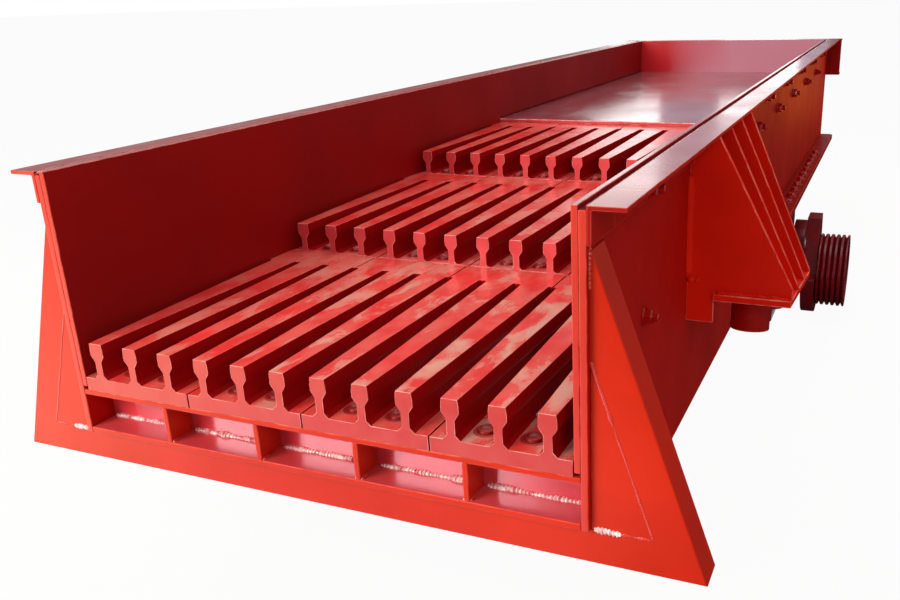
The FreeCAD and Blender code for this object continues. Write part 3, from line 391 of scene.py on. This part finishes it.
def dressed(nodeName, paint, slot, corner, hollow=0.0, trims=None, fillet=None, cuts=(), seam=(), least=0.0):
    # A copy of a solid with its flat faces joined up, its outer edges rounded by corner mm and its inner
    # corners filled by hollow mm, shaded by weighted normals so that the flats stay flat. Trims name the
    # paints of the faces at the front, on top or at the flanks, where they differ; several are darker or
    # lighter copies of one paint, painted shade or sheen. A fillet of width and height mm smooths the shallow
    # inner corners up to that height over the solid's foot. Cuts split faces across X, and a seam is a weld
    # across Y, ground flush, its strip painted in the pale paint of the edges. Where least is given, only
    # edges longer than it are rounded, as
    # folds: the short ones are mitres that are welded shut
    source = frame["nodes"][nodeName]
    rules = plateRules
    work = bmesh.new()
    work.from_mesh(source.data)
    bmesh.ops.remove_doubles(work, verts=work.verts, dist=rules["merge"] * mm)
    flat = math.radians(rules["flat"])
    bmesh.ops.dissolve_limit(work, angle_limit=flat, verts=work.verts, edges=work.edges)
    work.faces.layers.float.new("edge")
    for normal, place in [(across, x) for x in cuts] + [(along, y) for y in seam]:
        bmesh.ops.bisect_plane(work, geom=[*work.verts, *work.edges, *work.faces],
                               plane_co=normal * place * mm, plane_no=normal)
    outer, inner = math.radians(rules["outer"]), math.radians(rules["inner"])
    if hollow:
        roundEdges(work, lambda e: bend(e) < -inner, hollow * mm, rules["hollowSteps"], 0.0)
    if fillet:
        height = min(v.co.z for v in work.verts) + fillet["height"] * mm
        roundEdges(work, lambda e: bend(e) < -outer and max(v.co.z for v in e.verts) < height,
                   fillet["width"] * mm, rules["hollowSteps"], 0.0)
    steps, mark = (rules["foldSteps"], 0.0) if least else (rules["cornerSteps"], 1.0)
    roundEdges(work, lambda e: bend(e) > outer and e.calc_length() > least * mm, corner * mm, steps, mark)
    shade = work.faces.layers.float["edge"]
    for face in work.faces if seam else ():
        if seam[0] * mm < face.calc_center_median().y < seam[1] * mm:
            face[shade] = 1.0
    front = min(v.co.y for v in work.verts) + rules["frontDepth"] * mm
    looks = {"flank": lambda f: (abs(f.normal.x) > rules["sideways"] or f.normal.z < -rules["under"]
                                 or f.normal.y > rules["sideways"]),
             "end": lambda f: f.normal.y < -rules["facing"],
             "front": lambda f: f.normal.y < -rules["facing"] and f.calc_center_median().y < front,
             "top": lambda f: f.normal.z > rules["facing"],
             "outside": lambda f: abs(f.calc_center_median().x) > rules["wallOut"] * mm}
    coats = [paint]
    for look, name in (trims or {}).items():
        if name not in coats:
            coats.append(name)
        for face in filter(looks[look], work.faces):
            face.material_index = coats.index(name)
    work.normal_update()
    for face in work.faces:
        face.smooth = True
    for edge in work.edges:
        edge.smooth = edge.calc_face_angle(0) < math.radians(rules["crease"])
    mesh = bpy.data.meshes.new(nodeName + "_dressed")
    work.to_mesh(mesh)
    work.free()
    for name in coats:
        mesh.materials.append(paints[name])
    piece = bpy.data.objects.new(nodeName + "_dressed", mesh)
    putIn(piece, source["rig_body"], [nodeName])
    flats = piece.modifiers.new("flats", "WEIGHTED_NORMAL")
    flats.keep_sharp = True
    flats.weight = rules["flatWeight"]


def bothSides(name):
    return [f"{name}_{side}" for side in sides]


panels = {tier: [f"grizzly_{tier}_{k}" for k in range(1, 5)] for tier in tiers}
topTrims = {"front": "edgeEnamel", "top": "rimSheenEnamel"}
# The castings' fronts and flanks take darker or pinker copies of their paint, painted shade and sheen
castTrims = {"flank": "castFlankShade", "end": "castFlankShade", "front": "castFrontShade"}
cast = {"hollow": 7.0, "trims": castTrims, "fillet": {"width": 5.4, "height": 37}}
castRear = {**cast, "trims": {**castTrims, "front": "castFrontSheen"}}
dressing = [
    # nodes, paint, slot, corner mm, and what else dressed needs to know of them
    (bothSides("side_liner"), "shadedWallEnamel", "red_enamel", 1.4, {"trims": topTrims}),
    # The rear wall's ends outside the side plates take the maroon as painted shade
    (["rear_wall"], "rearWallSheenEnamel", "red_enamel", 1.6,
     {"trims": {"outside": "guideEnamelAndShade"}, "cuts": (-plateRules["wallOut"], plateRules["wallOut"])}),
    (bothSides("side_plate"), "sideEnamel", "red_enamel", 2.0,
     {"trims": {"front": "edgeEnamel", "top": "gapShadeEnamel"}}),
    (bothSides("exciter_rail"), "guideEnamelAndShade", "red_enamel", 2.0, {}),
    (bothSides("bracket_gussets"), "bracketEnamel", "red_enamel", 1.2, {}),
    (bothSides("seat_plate"), "bracketEnamel", "red_enamel", 2.0, {}),
    # The right rim's front end takes the maroon as painted shade
    (["rim_angle_right"], "sideEnamel", "red_enamel", 1.4,
     {"hollow": 3.0, "trims": {"front": "guideEnamelAndShade", "top": "rimSheenEnamel"}, "seam": (93, 97)}),
    (["rim_angle_left"], "sideEnamel", "red_enamel", 1.4, {"hollow": 3.0, "trims": topTrims}),
    (bothSides("wing_angle") + ["bottom_bar"], "frameEnamel", "red_enamel", 2.9, {"least": 400}),
    (bothSides("wing_filler"), "frameEnamel", "red_enamel", 2.2, {}),
    (["discharge_roof", "discharge_ribs"], "frameEnamel", "red_enamel", 2.0, {}),
    (["discharge_floor"], "beamPaintAndSheen", "red_enamel", 2.0, {"trims": {"front": "frameEnamel"}}),
    (["discharge_back"], "beamPaintAndSheen", "red_enamel", 2.0, {}),
    ([f"step_beam_{tier}" for tier in tiers] + ["deck_ribs"], "frameEnamel", "red_enamel", 2.0, {}),
    (["deck_plate"], "deckSheenEnamel", "red_enamel", 2.4, {"trims": {"front": "castFrontSheen"}}),
    (panels["lower"], "castEnamel", "worn_enamel", 2.0, cast),
    (panels["middle"] + panels["upper"], "castEnamel", "worn_enamel", 2.0, castRear),
    (["spring_guides"], "guideEnamelAndShade", "red_enamel", 2.0, {}),
    (["rear_seats", "rear_beam", "rear_bridge", "exciter_bridge"], "sideEnamel", "red_enamel", 2.0, {}),
    (["casing_upper", "casing_lower"], "exciterEnamel", "dark_enamel", 3.0, {}),
    (["drive_wheels", "driven_wheels"], "exciterEnamel", "dark_enamel", 1.4, {}),
]
for names, paint, slot, corner, more in dressing:
    for nodeName in names:
        dressed(nodeName, paint, slot, corner, **more)
bareSteel = {"drive_shaft": "groundShaftSteel", "driven_shaft": "groundShaftSteel",
             "drive_gear": "cutGearSteel", "driven_gear": "cutGearSteel", "bearings": "bearingRingSteel"}
for nodeName, metal in bareSteel.items():
    frame["nodes"][nodeName].data.materials.clear()
    frame["nodes"][nodeName].data.materials.append(metals[metal])
print("solids dressed:", sum(len(row[0]) for row in dressing))

gridRules = {"merge": 0.005, "crease": 38}  # mm and degrees


def surface(name, sheets, paint, replaced=()):
    # One mesh from grids of points, each wrapped round in its second direction; a row whose points all meet
    # closes the grid there
    places, quads, start = [], [], 0
    for grid in sheets:
        rows, columns = grid.shape[:2]
        ring = np.arange(columns)
        after = (ring + 1) % columns
        index = start + np.arange(rows - 1)[:, None] * columns
        corners = [index + ring, index + after, index + columns + after, index + columns + ring]
        quads.append(np.stack(corners, -1).reshape(-1, 4))
        places.append(grid.reshape(-1, 3))
        start += rows * columns
    mesh = bpy.data.meshes.new(name)
    mesh.from_pydata(np.concatenate(places).tolist(), [], np.concatenate(quads).tolist())
    work = bmesh.new()
    work.from_mesh(mesh)
    bmesh.ops.remove_doubles(work, verts=work.verts, dist=gridRules["merge"] * mm)
    bmesh.ops.recalc_face_normals(work, faces=work.faces)
    work.to_mesh(mesh)
    work.free()
    mesh.shade_smooth()
    mesh.set_sharp_from_angle(angle=math.radians(gridRules["crease"]))
    mesh.materials.append(paints[paint])
    putIn(bpy.data.objects.new(name, mesh), "trough", replaced)


def turnedGrid(profile, flats=0, steps=36):
    # Rings about Z of a profile, whose rows are radius, height, and 1 where the ring is a polygon; its radius
    # then stays within a polygon of that many flats
    radius, height, polygon = np.array(profile).T
    turn = np.linspace(0, 2 * np.pi, steps, endpoint=False)
    reach = np.ones(steps)
    if flats:
        step = 2 * np.pi / flats
        reach = np.cos(np.pi / flats) / np.cos((turn + step / 2) % step - step / 2)
    radii = radius[:, None] * np.where(polygon[:, None] > 0, reach, 1.0)
    heights = np.repeat(height[:, None], steps, 1)
    return np.stack([radii * np.cos(turn), radii * np.sin(turn), heights], -1) * mm


def placed(grid, centres, axis, spins):
    # Copies of a grid about Z, spun, turned to the axis and moved to each centre
    axis = np.array(axis, float)
    side = across if abs(axis[0]) < 0.9 else along  # well off the axis
    side = side - axis * (side @ axis)
    turn = np.stack([side, np.cross(axis, side), axis])
    for centre, spin in zip(centres, spins):
        cosine, sine = math.cos(spin), math.sin(spin)
        yield grid @ np.array([[cosine, sine, 0], [-sine, cosine, 0], [0, 0, 1]]) @ turn + centre


def solidBoxes(nodeName):
    # Lowest and highest corner of each separate solid in a node
    work = bmesh.new()
    work.from_mesh(frame["nodes"][nodeName].data)
    bmesh.ops.remove_doubles(work, verts=work.verts, dist=plateRules["merge"] * mm)
    boxes = []
    for solid in gathered(work.verts, lambda vert: [e.other_vert(vert) for e in vert.link_edges]):
        spots = np.array([v.co for v in solid])
        boxes.append((spots.min(0), spots.max(0)))
    work.free()
    return boxes


def undersides(nodeName):
    # Middle of the underside of each separate solid in a node
    return [np.array([*((low + high) / 2)[:2], low[2]]) for low, high in solidBoxes(nodeName)]


anyTurn = 6.3  # radians, a full turn: fasteners end up at any angle

# Bolts of the grizzly panels: low round heads with a dished top, in a ring of paint
panelBolt = {"profile": [(0, 2.4, 0), (6.4, 2.6, 0), (9.6, 3.6, 0), (11.4, 5.6, 0), (12.8, 6.4, 0),
                         (14.2, 6.0, 0), (15.4, 4.4, 0), (15.9, 2.0, 0), (16.3, 0.6, 0), (17.2, 0.4, 0),
                         (18.6, 1.0, 0), (20.4, 1.2, 0), (22.0, 0.5, 0), (22.6, -1.0, 0), (0, -1.0, 0)]}
seats = undersides("panel_bolts")
heads = placed(turnedGrid(**panelBolt), seats, up, rng.uniform(0, anyTurn, len(seats)))
surface("panel_bolt_heads", heads, "boltEnamel", replaced=["panel_bolts"])

# Hexagon nuts on washers with a bolt end, on the outside of the side plates
linerNut = {"flats": 6,
            "profile": [(0, 27.0, 0), (6.6, 27.0, 0), (8.0, 25.4, 0), (8.0, 15.8, 0), (11.6, 16.2, 0),
                        (13.4, 15.4, 1), (14.0, 14.2, 1), (14.0, 3.0, 1), (16.4, 2.9, 0), (17.2, 2.2, 0),
                        (17.2, -0.6, 0), (0, -0.6, 0)]}
nutGrid = turnedGrid(**linerNut)
nuts = []
for low, high in solidBoxes("liner_nuts"):
    outward = 1.0 if low[0] > 0 else -1.0
    foot = np.array([low[0] if outward > 0 else high[0], *((low + high) / 2)[1:]])
    nuts += placed(nutGrid, [foot], across * outward, rng.uniform(0, anyTurn, 1))
surface("liner_nuts_dressed", nuts, "nutEnamel", replaced=["liner_nuts"])

# Hexagon heads on washers, in rows along the exciter's bridge
bridgeBolt = {"flats": 6,
              "profile": [(0, 13.0, 0), (11.6, 13.0, 0), (14.2, 12.2, 1), (15.0, 11.2, 1), (15.0, 3.0, 1),
                          (18.5, 2.9, 0), (19.4, 2.0, 0), (19.4, -0.6, 0), (0, -0.6, 0)]}
seats = undersides("bridge_bolts")
heads = placed(turnedGrid(**bridgeBolt), seats, up, rng.uniform(0, anyTurn, len(seats)))
surface("bridge_bolts_dressed", heads, "nutEnamel", replaced=["bridge_bolts"])
print("fasteners turned")

# How every bead runs: mm, shares of its size, and degrees for wide, the span from which it lies on a flat
beadHabits = {"wander": 14, "leastWander": 3, "rowsPerRipple": 4, "leastRows": 8, "points": 7, "grain": 0.025,
              "thinnest": 0.3, "thickest": 1.9, "buried": 0.25, "wide": 120, "jitter": 0.03}


def bead(start, end, legA, legB, size, ripple, span=90.0, crown=1.0, ragged=0.10, scales=0.10):
    # A weld bead from start to end: round its line it bulges from legA to legB by size mm, the size
    # swells by its scales once per ripple mm and wanders by ragged, and runs out to a point at both ends
    start, end, legA, legB = (np.array(row, float) for row in (start, end, legA, legB))
    habits = beadHabits
    length = np.linalg.norm(end - start)
    count = max(int(length / (ripple * mm) * habits["rowsPerRipple"]), habits["leastRows"])
    run = np.linspace(0, length, count)
    knots = max(int(length / (habits["wander"] * mm)), habits["leastWander"]) + 1
    wander = np.interp(run, np.linspace(0, length, knots), rng.normal(0, 1, knots))
    swell = 1 + scales * np.sin(2 * np.pi * run / (ripple * mm)) + ragged * wander
    swell = np.clip(swell + rng.normal(0, habits["grain"], count), habits["thinnest"], habits["thickest"])
    taper = np.clip(np.minimum(run, length - run) / (size * mm), 0, 1) ** 0.5
    reach = size * mm * swell * taper
    turn = np.radians(np.linspace(0, span, habits["points"]))[:, None]
    bulge = np.cos(turn) * legA + crown * np.sin(turn) * legB
    buried = -habits["buried"] * (legB + (legA if span < habits["wide"] else 0))
    section = np.vstack([bulge, buried])
    line = start + (end - start) * (run / length)[:, None]
    shift = rng.normal(0, habits["jitter"], count)[:, None] * (end - start) / length * ripple * mm
    return line[:, None] + shift[:, None] + reach[:, None, None] * section


# Discharge box: a rough bead along the back of each cell's floor, from start mm past the cell's left corner,
# painted near white as painted glints
floorLow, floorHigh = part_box("discharge_floor")
frontEdge, floorTop = floorLow.y, floorHigh.z
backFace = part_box("discharge_back")[0].y
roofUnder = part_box("discharge_roof")[0].z
ribLow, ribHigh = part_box("discharge_ribs")
ribs = {"thick": 10, "count": 4}
ribThick = ribs["thick"] * mm
ribAt = np.linspace(ribLow.x + ribThick / 2, ribHigh.x - ribThick / 2, ribs["count"])
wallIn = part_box("side_plate_right")[0].x
cells = zip([-wallIn, *(ribAt + ribThick / 2)], [*(ribAt - ribThick / 2), wallIn])
beamWeld = {"start": 6, "bead": {"size": 4.8, "ripple": 6.5, "ragged": 0.26, "scales": 0.30}}
beamWelds = []
for left, right in cells:
    start, end = (left + beamWeld["start"] * mm, backFace, floorTop), (right, backFace, floorTop)
    beamWelds.append(bead(start, end, -along, up, **beamWeld["bead"]))
surface("beam_welds", beamWelds, "beadGlintEnamel")

# Tacks at the ribs' feet and heads, on both sides near the front edge
ribTack = {"setback": 11, "ahead": 9, "ripple": 8.0,
           "foot": {"size": 4.5, "behind": 11}, "head": {"size": 4.0, "behind": 7}}
tacks = []
for rib in ribAt:
    for side in (-1, 1):
        for level, rise, end in ((floorTop, up, ribTack["foot"]), (roofUnder, -up, ribTack["head"])):
            spot = np.array([rib + side * ribThick / 2, frontEdge + ribTack["setback"] * mm, level])
            tacks.append(bead(spot - ribTack["ahead"] * mm * along, spot + end["behind"] * mm * along,
                              across * side, rise, end["size"], ribTack["ripple"]))
surface("rib_tacks", tacks, "seamEnamel")

# Wings: a low ragged bead in three runs down each filler's slant, one painted near white as painted glints
# and a dull one along its foot, and an upright one at the head of the right wing. Runs are from, to, ragged
# and share of the crest
wingWeld = {
    "crest": {"right": 2.1, "left": 1.5},
    "runs": ((0.0, 0.42, 0.45, 1.15), (0.40, 0.74, 0.18, 0.8), (0.72, 1.0, 0.35, 0.9)),
    "low": {"ripple": 5.0, "span": 180.0, "crown": 0.5, "scales": 0.22},
    "foot": {"size": 1.9, "ragged": 0.4},
    "glint": {"size": 3.4, "ripple": 6.0, "span": 180.0, "crown": 0.7, "ragged": 0.45, "scales": 0.40},
    "glintFrom": 4, "glintShare": 0.50,
    "head": {"size": 3.4, "ripple": 7.0, "ragged": 0.4, "scales": 0.25}, "headSpan": (410, 475),
}
wingWelds, wingGlints = [], []
for name, side in sides.items():
    low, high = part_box(f"wing_filler_{name}")
    inner, outer = (low.x, high.x) if side > 0 else (high.x, low.x)
    slant = np.array([outer - inner, 0, low.z - high.z])
    square = np.cross(slant / np.linalg.norm(slant), along) * side
    head, foot = np.array((inner, low.y, high.z)), np.array((outer, low.y, low.z))
    for first, last, swing, share in wingWeld["runs"]:
        wingWelds.append(bead(head + (foot - head) * first, head + (foot - head) * last, square, -along,
                              wingWeld["crest"][name] * share, ragged=swing, **wingWeld["low"]))
    middle = inner + (outer - inner) * wingWeld["glintShare"]
    glintFrom = inner + wingWeld["glintFrom"] * mm * side
    wingGlints.append(bead((glintFrom, low.y, low.z), (middle, low.y, low.z), up, -along,
                           **wingWeld["glint"]))
    wingWelds.append(bead((middle, low.y, low.z), (outer, low.y, low.z), up, -along,
                          **wingWeld["foot"], **wingWeld["low"]))
    if name == "right":
        bottom, top = (level * mm for level in wingWeld["headSpan"])
        wingWelds.append(bead((inner, low.y, bottom), (inner, low.y, top), across * side, -along,
                              **wingWeld["head"]))
surface("wing_welds", wingWelds, "seamEnamel")
surface("wing_glints", wingGlints, "beadGlintEnamel")

# Paint lies thick along the foot of the middle and upper tiers, in the joint with the tier in front; the bead
# is painted in the pinker front paint and stands also for a painted highlight along that edge
tierJoint = {"inset": 3, "bead": {"size": 2.6, "ripple": 30.0, "span": 180.0, "crown": 0.6, "ragged": 0.30}}
tierJoints = []
for before, tier in zip(tiers, tiers[1:]):
    for panelBefore, panel in zip(panels[before], panels[tier]):
        low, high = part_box(panel)
        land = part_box(panelBefore)[1].z
        left, right = low.x + tierJoint["inset"] * mm, high.x - tierJoint["inset"] * mm
        tierJoints.append(bead((left, low.y, land), (right, low.y, land), along, up, **tierJoint["bead"]))
surface("tier_joint_paint_and_highlight", tierJoints, "castFrontSheen")

# Spring brackets: a fillet up each gusset's front where it meets the side plate, heavy on the first, a short
# one over the first gusset's tail and one along its foot on the seat
bracket = {"pitch": 126, "count": 4, "low": 240, "high": 452, "drop": 20, "fillet": 11.0, "rearFillet": 6.0,
           "upright": {"ripple": 10.0, "ragged": 0.06, "scales": 0.02},
           "tailTop": 233, "tailLength": 26,
           "tail": {"size": 5.0, "ripple": 9.0, "span": 180.0, "crown": 0.8, "ragged": 0.3},
           "seat": 208, "seatFrom": 62, "seatInset": 6,
           "foot": {"size": 4.6, "ripple": 9.0, "ragged": 0.30}}
bracketWelds = []
for name, side in sides.items():
    low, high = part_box(f"bracket_gussets_{name}")
    wall, tip = (low.x, high.x) if side > 0 else (high.x, low.x)
    for k in range(bracket["count"]):
        front = low.y + bracket["pitch"] * k * mm
        bottom = bracket["low"] * mm - bracket["drop"] * k * mm
        bracketWelds.append(bead((wall, front, bottom), (wall, front, bracket["high"] * mm), across * side,
                                 -along, bracket["rearFillet" if k else "fillet"], **bracket["upright"]))
    level, tailEnd = bracket["tailTop"] * mm, wall + bracket["tailLength"] * mm * side
    bracketWelds.append(bead((wall, low.y, level), (tailEnd, low.y, level), up, -along, **bracket["tail"]))
    level = bracket["seat"] * mm
    first, last = wall + bracket["seatFrom"] * mm * side, tip - bracket["seatInset"] * mm * side
    bracketWelds.append(bead((first, low.y, level), (last, low.y, level), -along, up, **bracket["foot"]))
surface("bracket_welds", bracketWelds, "bracketEnamel")

# A long fillet holds each rim angle to its side plate, and fills the outer part of the groove along the top
rimFillet = {"inset": 2, "bead": {"size": 5.6, "crown": 0.88, "ripple": 30.0, "ragged": 0.02, "scales": 0.01}}
rimWelds = []
for name, side in sides.items():
    low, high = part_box(f"rim_angle_{name}")
    edge = low.x if side > 0 else high.x
    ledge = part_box(f"side_plate_{name}")[1].z
    front, rear = low.y + rimFillet["inset"] * mm, high.y - rimFillet["inset"] * mm
    rimWelds.append(bead((edge, front, ledge), (edge, rear, ledge), -across * side, up, **rimFillet["bead"]))
surface("rim_welds", rimWelds, "rimSheenEnamel")

# Ends of the ribs' tacks where they run out at the front edge, painted near white as painted glints
ribGlint = {"setback": 2, "length": 7, "ripple": 5.0, "ragged": 0.3, "footSize": 3.6, "headSize": 2.6}
glintEnds = ((floorTop, up, ribGlint["footSize"]), (roofUnder, -up, ribGlint["headSize"]))
glints = []
for rib in ribAt:
    for side in (-1, 1):
        for level, rise, size in glintEnds:
            spot = np.array([rib + side * ribThick / 2, frontEdge + ribGlint["setback"] * mm, level])
            glints.append(bead(spot, spot + ribGlint["length"] * mm * along, across * side, rise, size,
                               ribGlint["ripple"], ragged=ribGlint["ragged"]))
surface("rib_glints", glints, "beadGlintEnamel")
print("welds laid")

# Camera at the photograph's place and angle; the shift keeps its off-centre framing
view = {"place": (0.86814, -1.09497, 0.79412), "turn": (70.8121, 1.6844, 22.2144), "lens": 35.506,
        "sensor": 36.0, "shift": (-0.08485, 0.00323), "farthest": 500.0}
camera = bpy.data.cameras.new("photoCamera")
camera.sensor_width = view["sensor"]
camera.lens = view["lens"]
camera.shift_x, camera.shift_y = view["shift"]
camera.clip_end = view["farthest"]
viewer = bpy.data.objects.new("photoCamera", camera)
viewer.location = view["place"]
viewer.rotation_euler = Euler([math.radians(angle) for angle in view["turn"]])
scene.collection.objects.link(viewer)
scene.camera = viewer

# Soft studio lamps: a broad key from the front left, a sky panel above, a low fill from the front right
# and a warm glow along the rear of the right side
lamps = {
    "keyPanel": {"place": (-2.6, -3.8, 2.4), "aim": (0.0, 0.3, 0.2), "size": (2.6, 2.6), "watts": 335,
                 "tint": "#FFF4EA"},
    "skyPanel": {"place": (-0.4, 1.6, 4.6), "aim": (-0.1, 1.6, 0.2), "size": (3.0, 5.0), "watts": 210,
                 "tint": "#FFFFFF"},
    "frontFill": {"place": (2.4, -2.4, 2.5), "aim": (0.6, 0.6, 0.2), "size": (1.0, 1.0), "watts": 34,
                  "tint": "#FFF2E8"},
    "warmSide": {"place": (1.2, 4.5, 0.3), "aim": (0.5, 2.9, 0.2), "size": (0.6, 0.5), "watts": 3.2,
                 "tint": "#FF7A0A"},
}
for name, lamp in lamps.items():
    light = bpy.data.lights.new(name, "AREA")
    light.shape = "RECTANGLE"
    light.size, light.size_y = lamp["size"]
    light.energy = lamp["watts"]
    light.color = linear(lamp["tint"])[:3]
    panel = bpy.data.objects.new(name, light)
    panel.location = lamp["place"]
    panel.rotation_euler = (Vector(lamp["aim"]) - Vector(lamp["place"])).to_track_quat("-Z", "Y").to_euler()
    panel.visible_camera = False
    scene.collection.objects.link(panel)


def whiteRays(tree):
    # 1 for rays from the camera, off gloss or through glass, which see the surround and the floor as white
    ray = addNode(tree, "ShaderNodeLightPath")
    seen = addNode(tree, "ShaderNodeMath", {"operation": "MAXIMUM"},
                   {0: ray.outputs["Is Camera Ray"], 1: ray.outputs["Is Glossy Ray"]})
    seenThrough = addNode(tree, "ShaderNodeMath", {"operation": "MAXIMUM"},
                          {0: seen.outputs["Value"], 1: ray.outputs["Is Transmission Ray"]})
    return seenThrough.outputs["Value"]


# White surround: full white to the camera and to reflections, softer as light on the object
surround = {"colour": "#FFFFFF", "seen": 1.0, "light": 0.42}
world = bpy.data.worlds.new("paleStudio")
scene.world = world
world.use_nodes = True
tree = world.node_tree
tree.nodes.clear()
level = addNode(tree, "ShaderNodeMapRange", {"To Min": surround["light"], "To Max": surround["seen"]},
                {"Value": whiteRays(tree)})
sky = addNode(tree, "ShaderNodeBackground", {"Color": linear(surround["colour"])},
              {"Strength": level.outputs["Result"]})
addNode(tree, "ShaderNodeOutputWorld", links={"Surface": sky.outputs["Background"]})

# Cards that only reflections see, glowing though they are no lamps: painted reflections. Behind the feed end
# stands a dim wall with a grey stretch and two bright windows in it. A dark sheet lies on the floor beside
# the right side, the painted shade of the floor there in reflections, and a lilac and a warm one lie in front
# of the discharge end, under the faces that mirror the floor
cards = {
    "dimWall": {"corners": ((-16, 9.6, -0.37), (9, 9.6, -0.37), (9, 9.6, 7), (-16, 9.6, 7)), "glow": 0.14},
    "greyWall": {"corners": ((-1.8, 9.5, 0.4), (0.1, 9.5, 0.4), (0.1, 9.5, 3), (-1.8, 9.5, 3)), "glow": 0.60,
                 "tint": "#E6EAFF"},
    "leftWindow": {"corners": ((-2.3, 9.4, 0.9), (-1.75, 9.4, 0.9), (-1.75, 9.4, 3), (-3.2, 9.4, 3)),
                   "glow": 2.3},
    "rightWindow": {"corners": ((-1.05, 9.4, 0.9), (-0.2, 9.4, 0.9), (-0.2, 9.4, 1.9), (-1.05, 9.4, 1.9)),
                    "glow": 2.6},
    "darkSheet": {"corners": ((0.52, -0.5, -0.375), (7, -0.5, -0.375), (7, 14, -0.375), (0.52, 14, -0.375)),
                  "glow": 0.02},
    "lilacSheet": {"corners": ((-0.9, -1.0, -0.375), (0.4, -1.0, -0.375), (0.4, -0.3, -0.375),
                               (-0.9, -0.3, -0.375)), "glow": 3.2, "tint": "#ECDEFF"},
    "warmSheet": {"corners": ((-5, -4, -0.375), (-0.9, -4, -0.375), (-0.9, -0.3, -0.375), (-5, -0.3, -0.375)),
                  "glow": 3.9, "tint": "#FFECDC"},
}
for name, card in cards.items():
    mesh = bpy.data.meshes.new(name)
    mesh.from_pydata(card["corners"], [], [(0, 1, 2, 3)])
    sheet = bpy.data.materials.new(name)
    sheet.use_nodes = True
    tree = sheet.node_tree
    tree.nodes.clear()
    glow = addNode(tree, "ShaderNodeEmission", {"Color": linear(card.get("tint", "#FFFFFF")),
                                                "Strength": card["glow"]})
    addNode(tree, "ShaderNodeOutputMaterial", links={"Surface": glow.outputs["Emission"]})
    mesh.materials.append(sheet)
    panel = bpy.data.objects.new(name, mesh)
    panel.visible_camera = panel.visible_diffuse = panel.visible_shadow = panel.visible_transmission = False
    scene.collection.objects.link(panel)
    panel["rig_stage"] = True

# Pale floor a little below the exciter. It glows nearly white to the camera, so that only a trace of the
# shadow shows, but keeps all of it in a patch below the trough: within shadeWhole metres of the patch's
# middle along X and Y, fading to the trace at shadeGone
ground = {"level": float(cadLow.z) - 4 * mm, "reach": 150.0, "colour": "#C8C6C4", "white": "#FFFFFF",
          "glow": 0.95, "shadeMiddle": (0.0, 2.15, 0.0), "shadeWhole": (0.20, 1.35),
          "shadeGone": (0.38, 1.65)}
mesh = bpy.data.meshes.new("studioFloor")
reach = ground["reach"]
corners = [(x * reach, y * reach, ground["level"]) for x, y in ((-1, -1), (1, -1), (1, 1), (-1, 1))]
mesh.from_pydata(corners, [], [(0, 1, 2, 3)])
floor = bpy.data.objects.new("studioFloor", mesh)
scene.collection.objects.link(floor)
floor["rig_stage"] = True
floorPaint = bpy.data.materials.new("paleFloorPaint")
floorPaint.use_nodes = True
tree = floorPaint.node_tree
tree.nodes.clear()
plain = addNode(tree, "ShaderNodeBsdfDiffuse", {"Color": linear(ground["colour"])})
glow = addNode(tree, "ShaderNodeEmission", {"Color": linear(ground["white"]), "Strength": 1.0})
where = addNode(tree, "ShaderNodeTexCoord").outputs["Object"]
offset = addNode(tree, "ShaderNodeVectorMath", {"operation": "SUBTRACT", 1: ground["shadeMiddle"]},
                 {0: where})
spread = addNode(tree, "ShaderNodeVectorMath", {"operation": "ABSOLUTE"}, {0: offset.outputs["Vector"]})
distance = addNode(tree, "ShaderNodeSeparateXYZ", links={"Vector": spread.outputs["Vector"]})
clearings = [addNode(tree, "ShaderNodeMapRange", {"From Min": whole, "From Max": gone},
                     {"Value": distance.outputs[axis]}).outputs["Result"]
             for axis, whole, gone in zip("XY", ground["shadeWhole"], ground["shadeGone"])]
clear = addNode(tree, "ShaderNodeMath", {"operation": "MAXIMUM"}, {0: clearings[0], 1: clearings[1]})
bare = addNode(tree, "ShaderNodeMath", {"operation": "MULTIPLY", 1: ground["glow"]},
               {0: clear.outputs["Value"]})
share = addNode(tree, "ShaderNodeMath", {"operation": "MULTIPLY"},
                {0: whiteRays(tree), 1: bare.outputs["Value"]})
lit = addNode(tree, "ShaderNodeMixShader", links={0: share.outputs["Value"], 1: plain.outputs["BSDF"],
                                                  2: glow.outputs["Emission"]})
addNode(tree, "ShaderNodeOutputMaterial", links={"Surface": lit.outputs["Shader"]})
mesh.materials.append(floorPaint)
scene.view_settings.view_transform = "Standard"
print("studio set")

low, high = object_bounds()
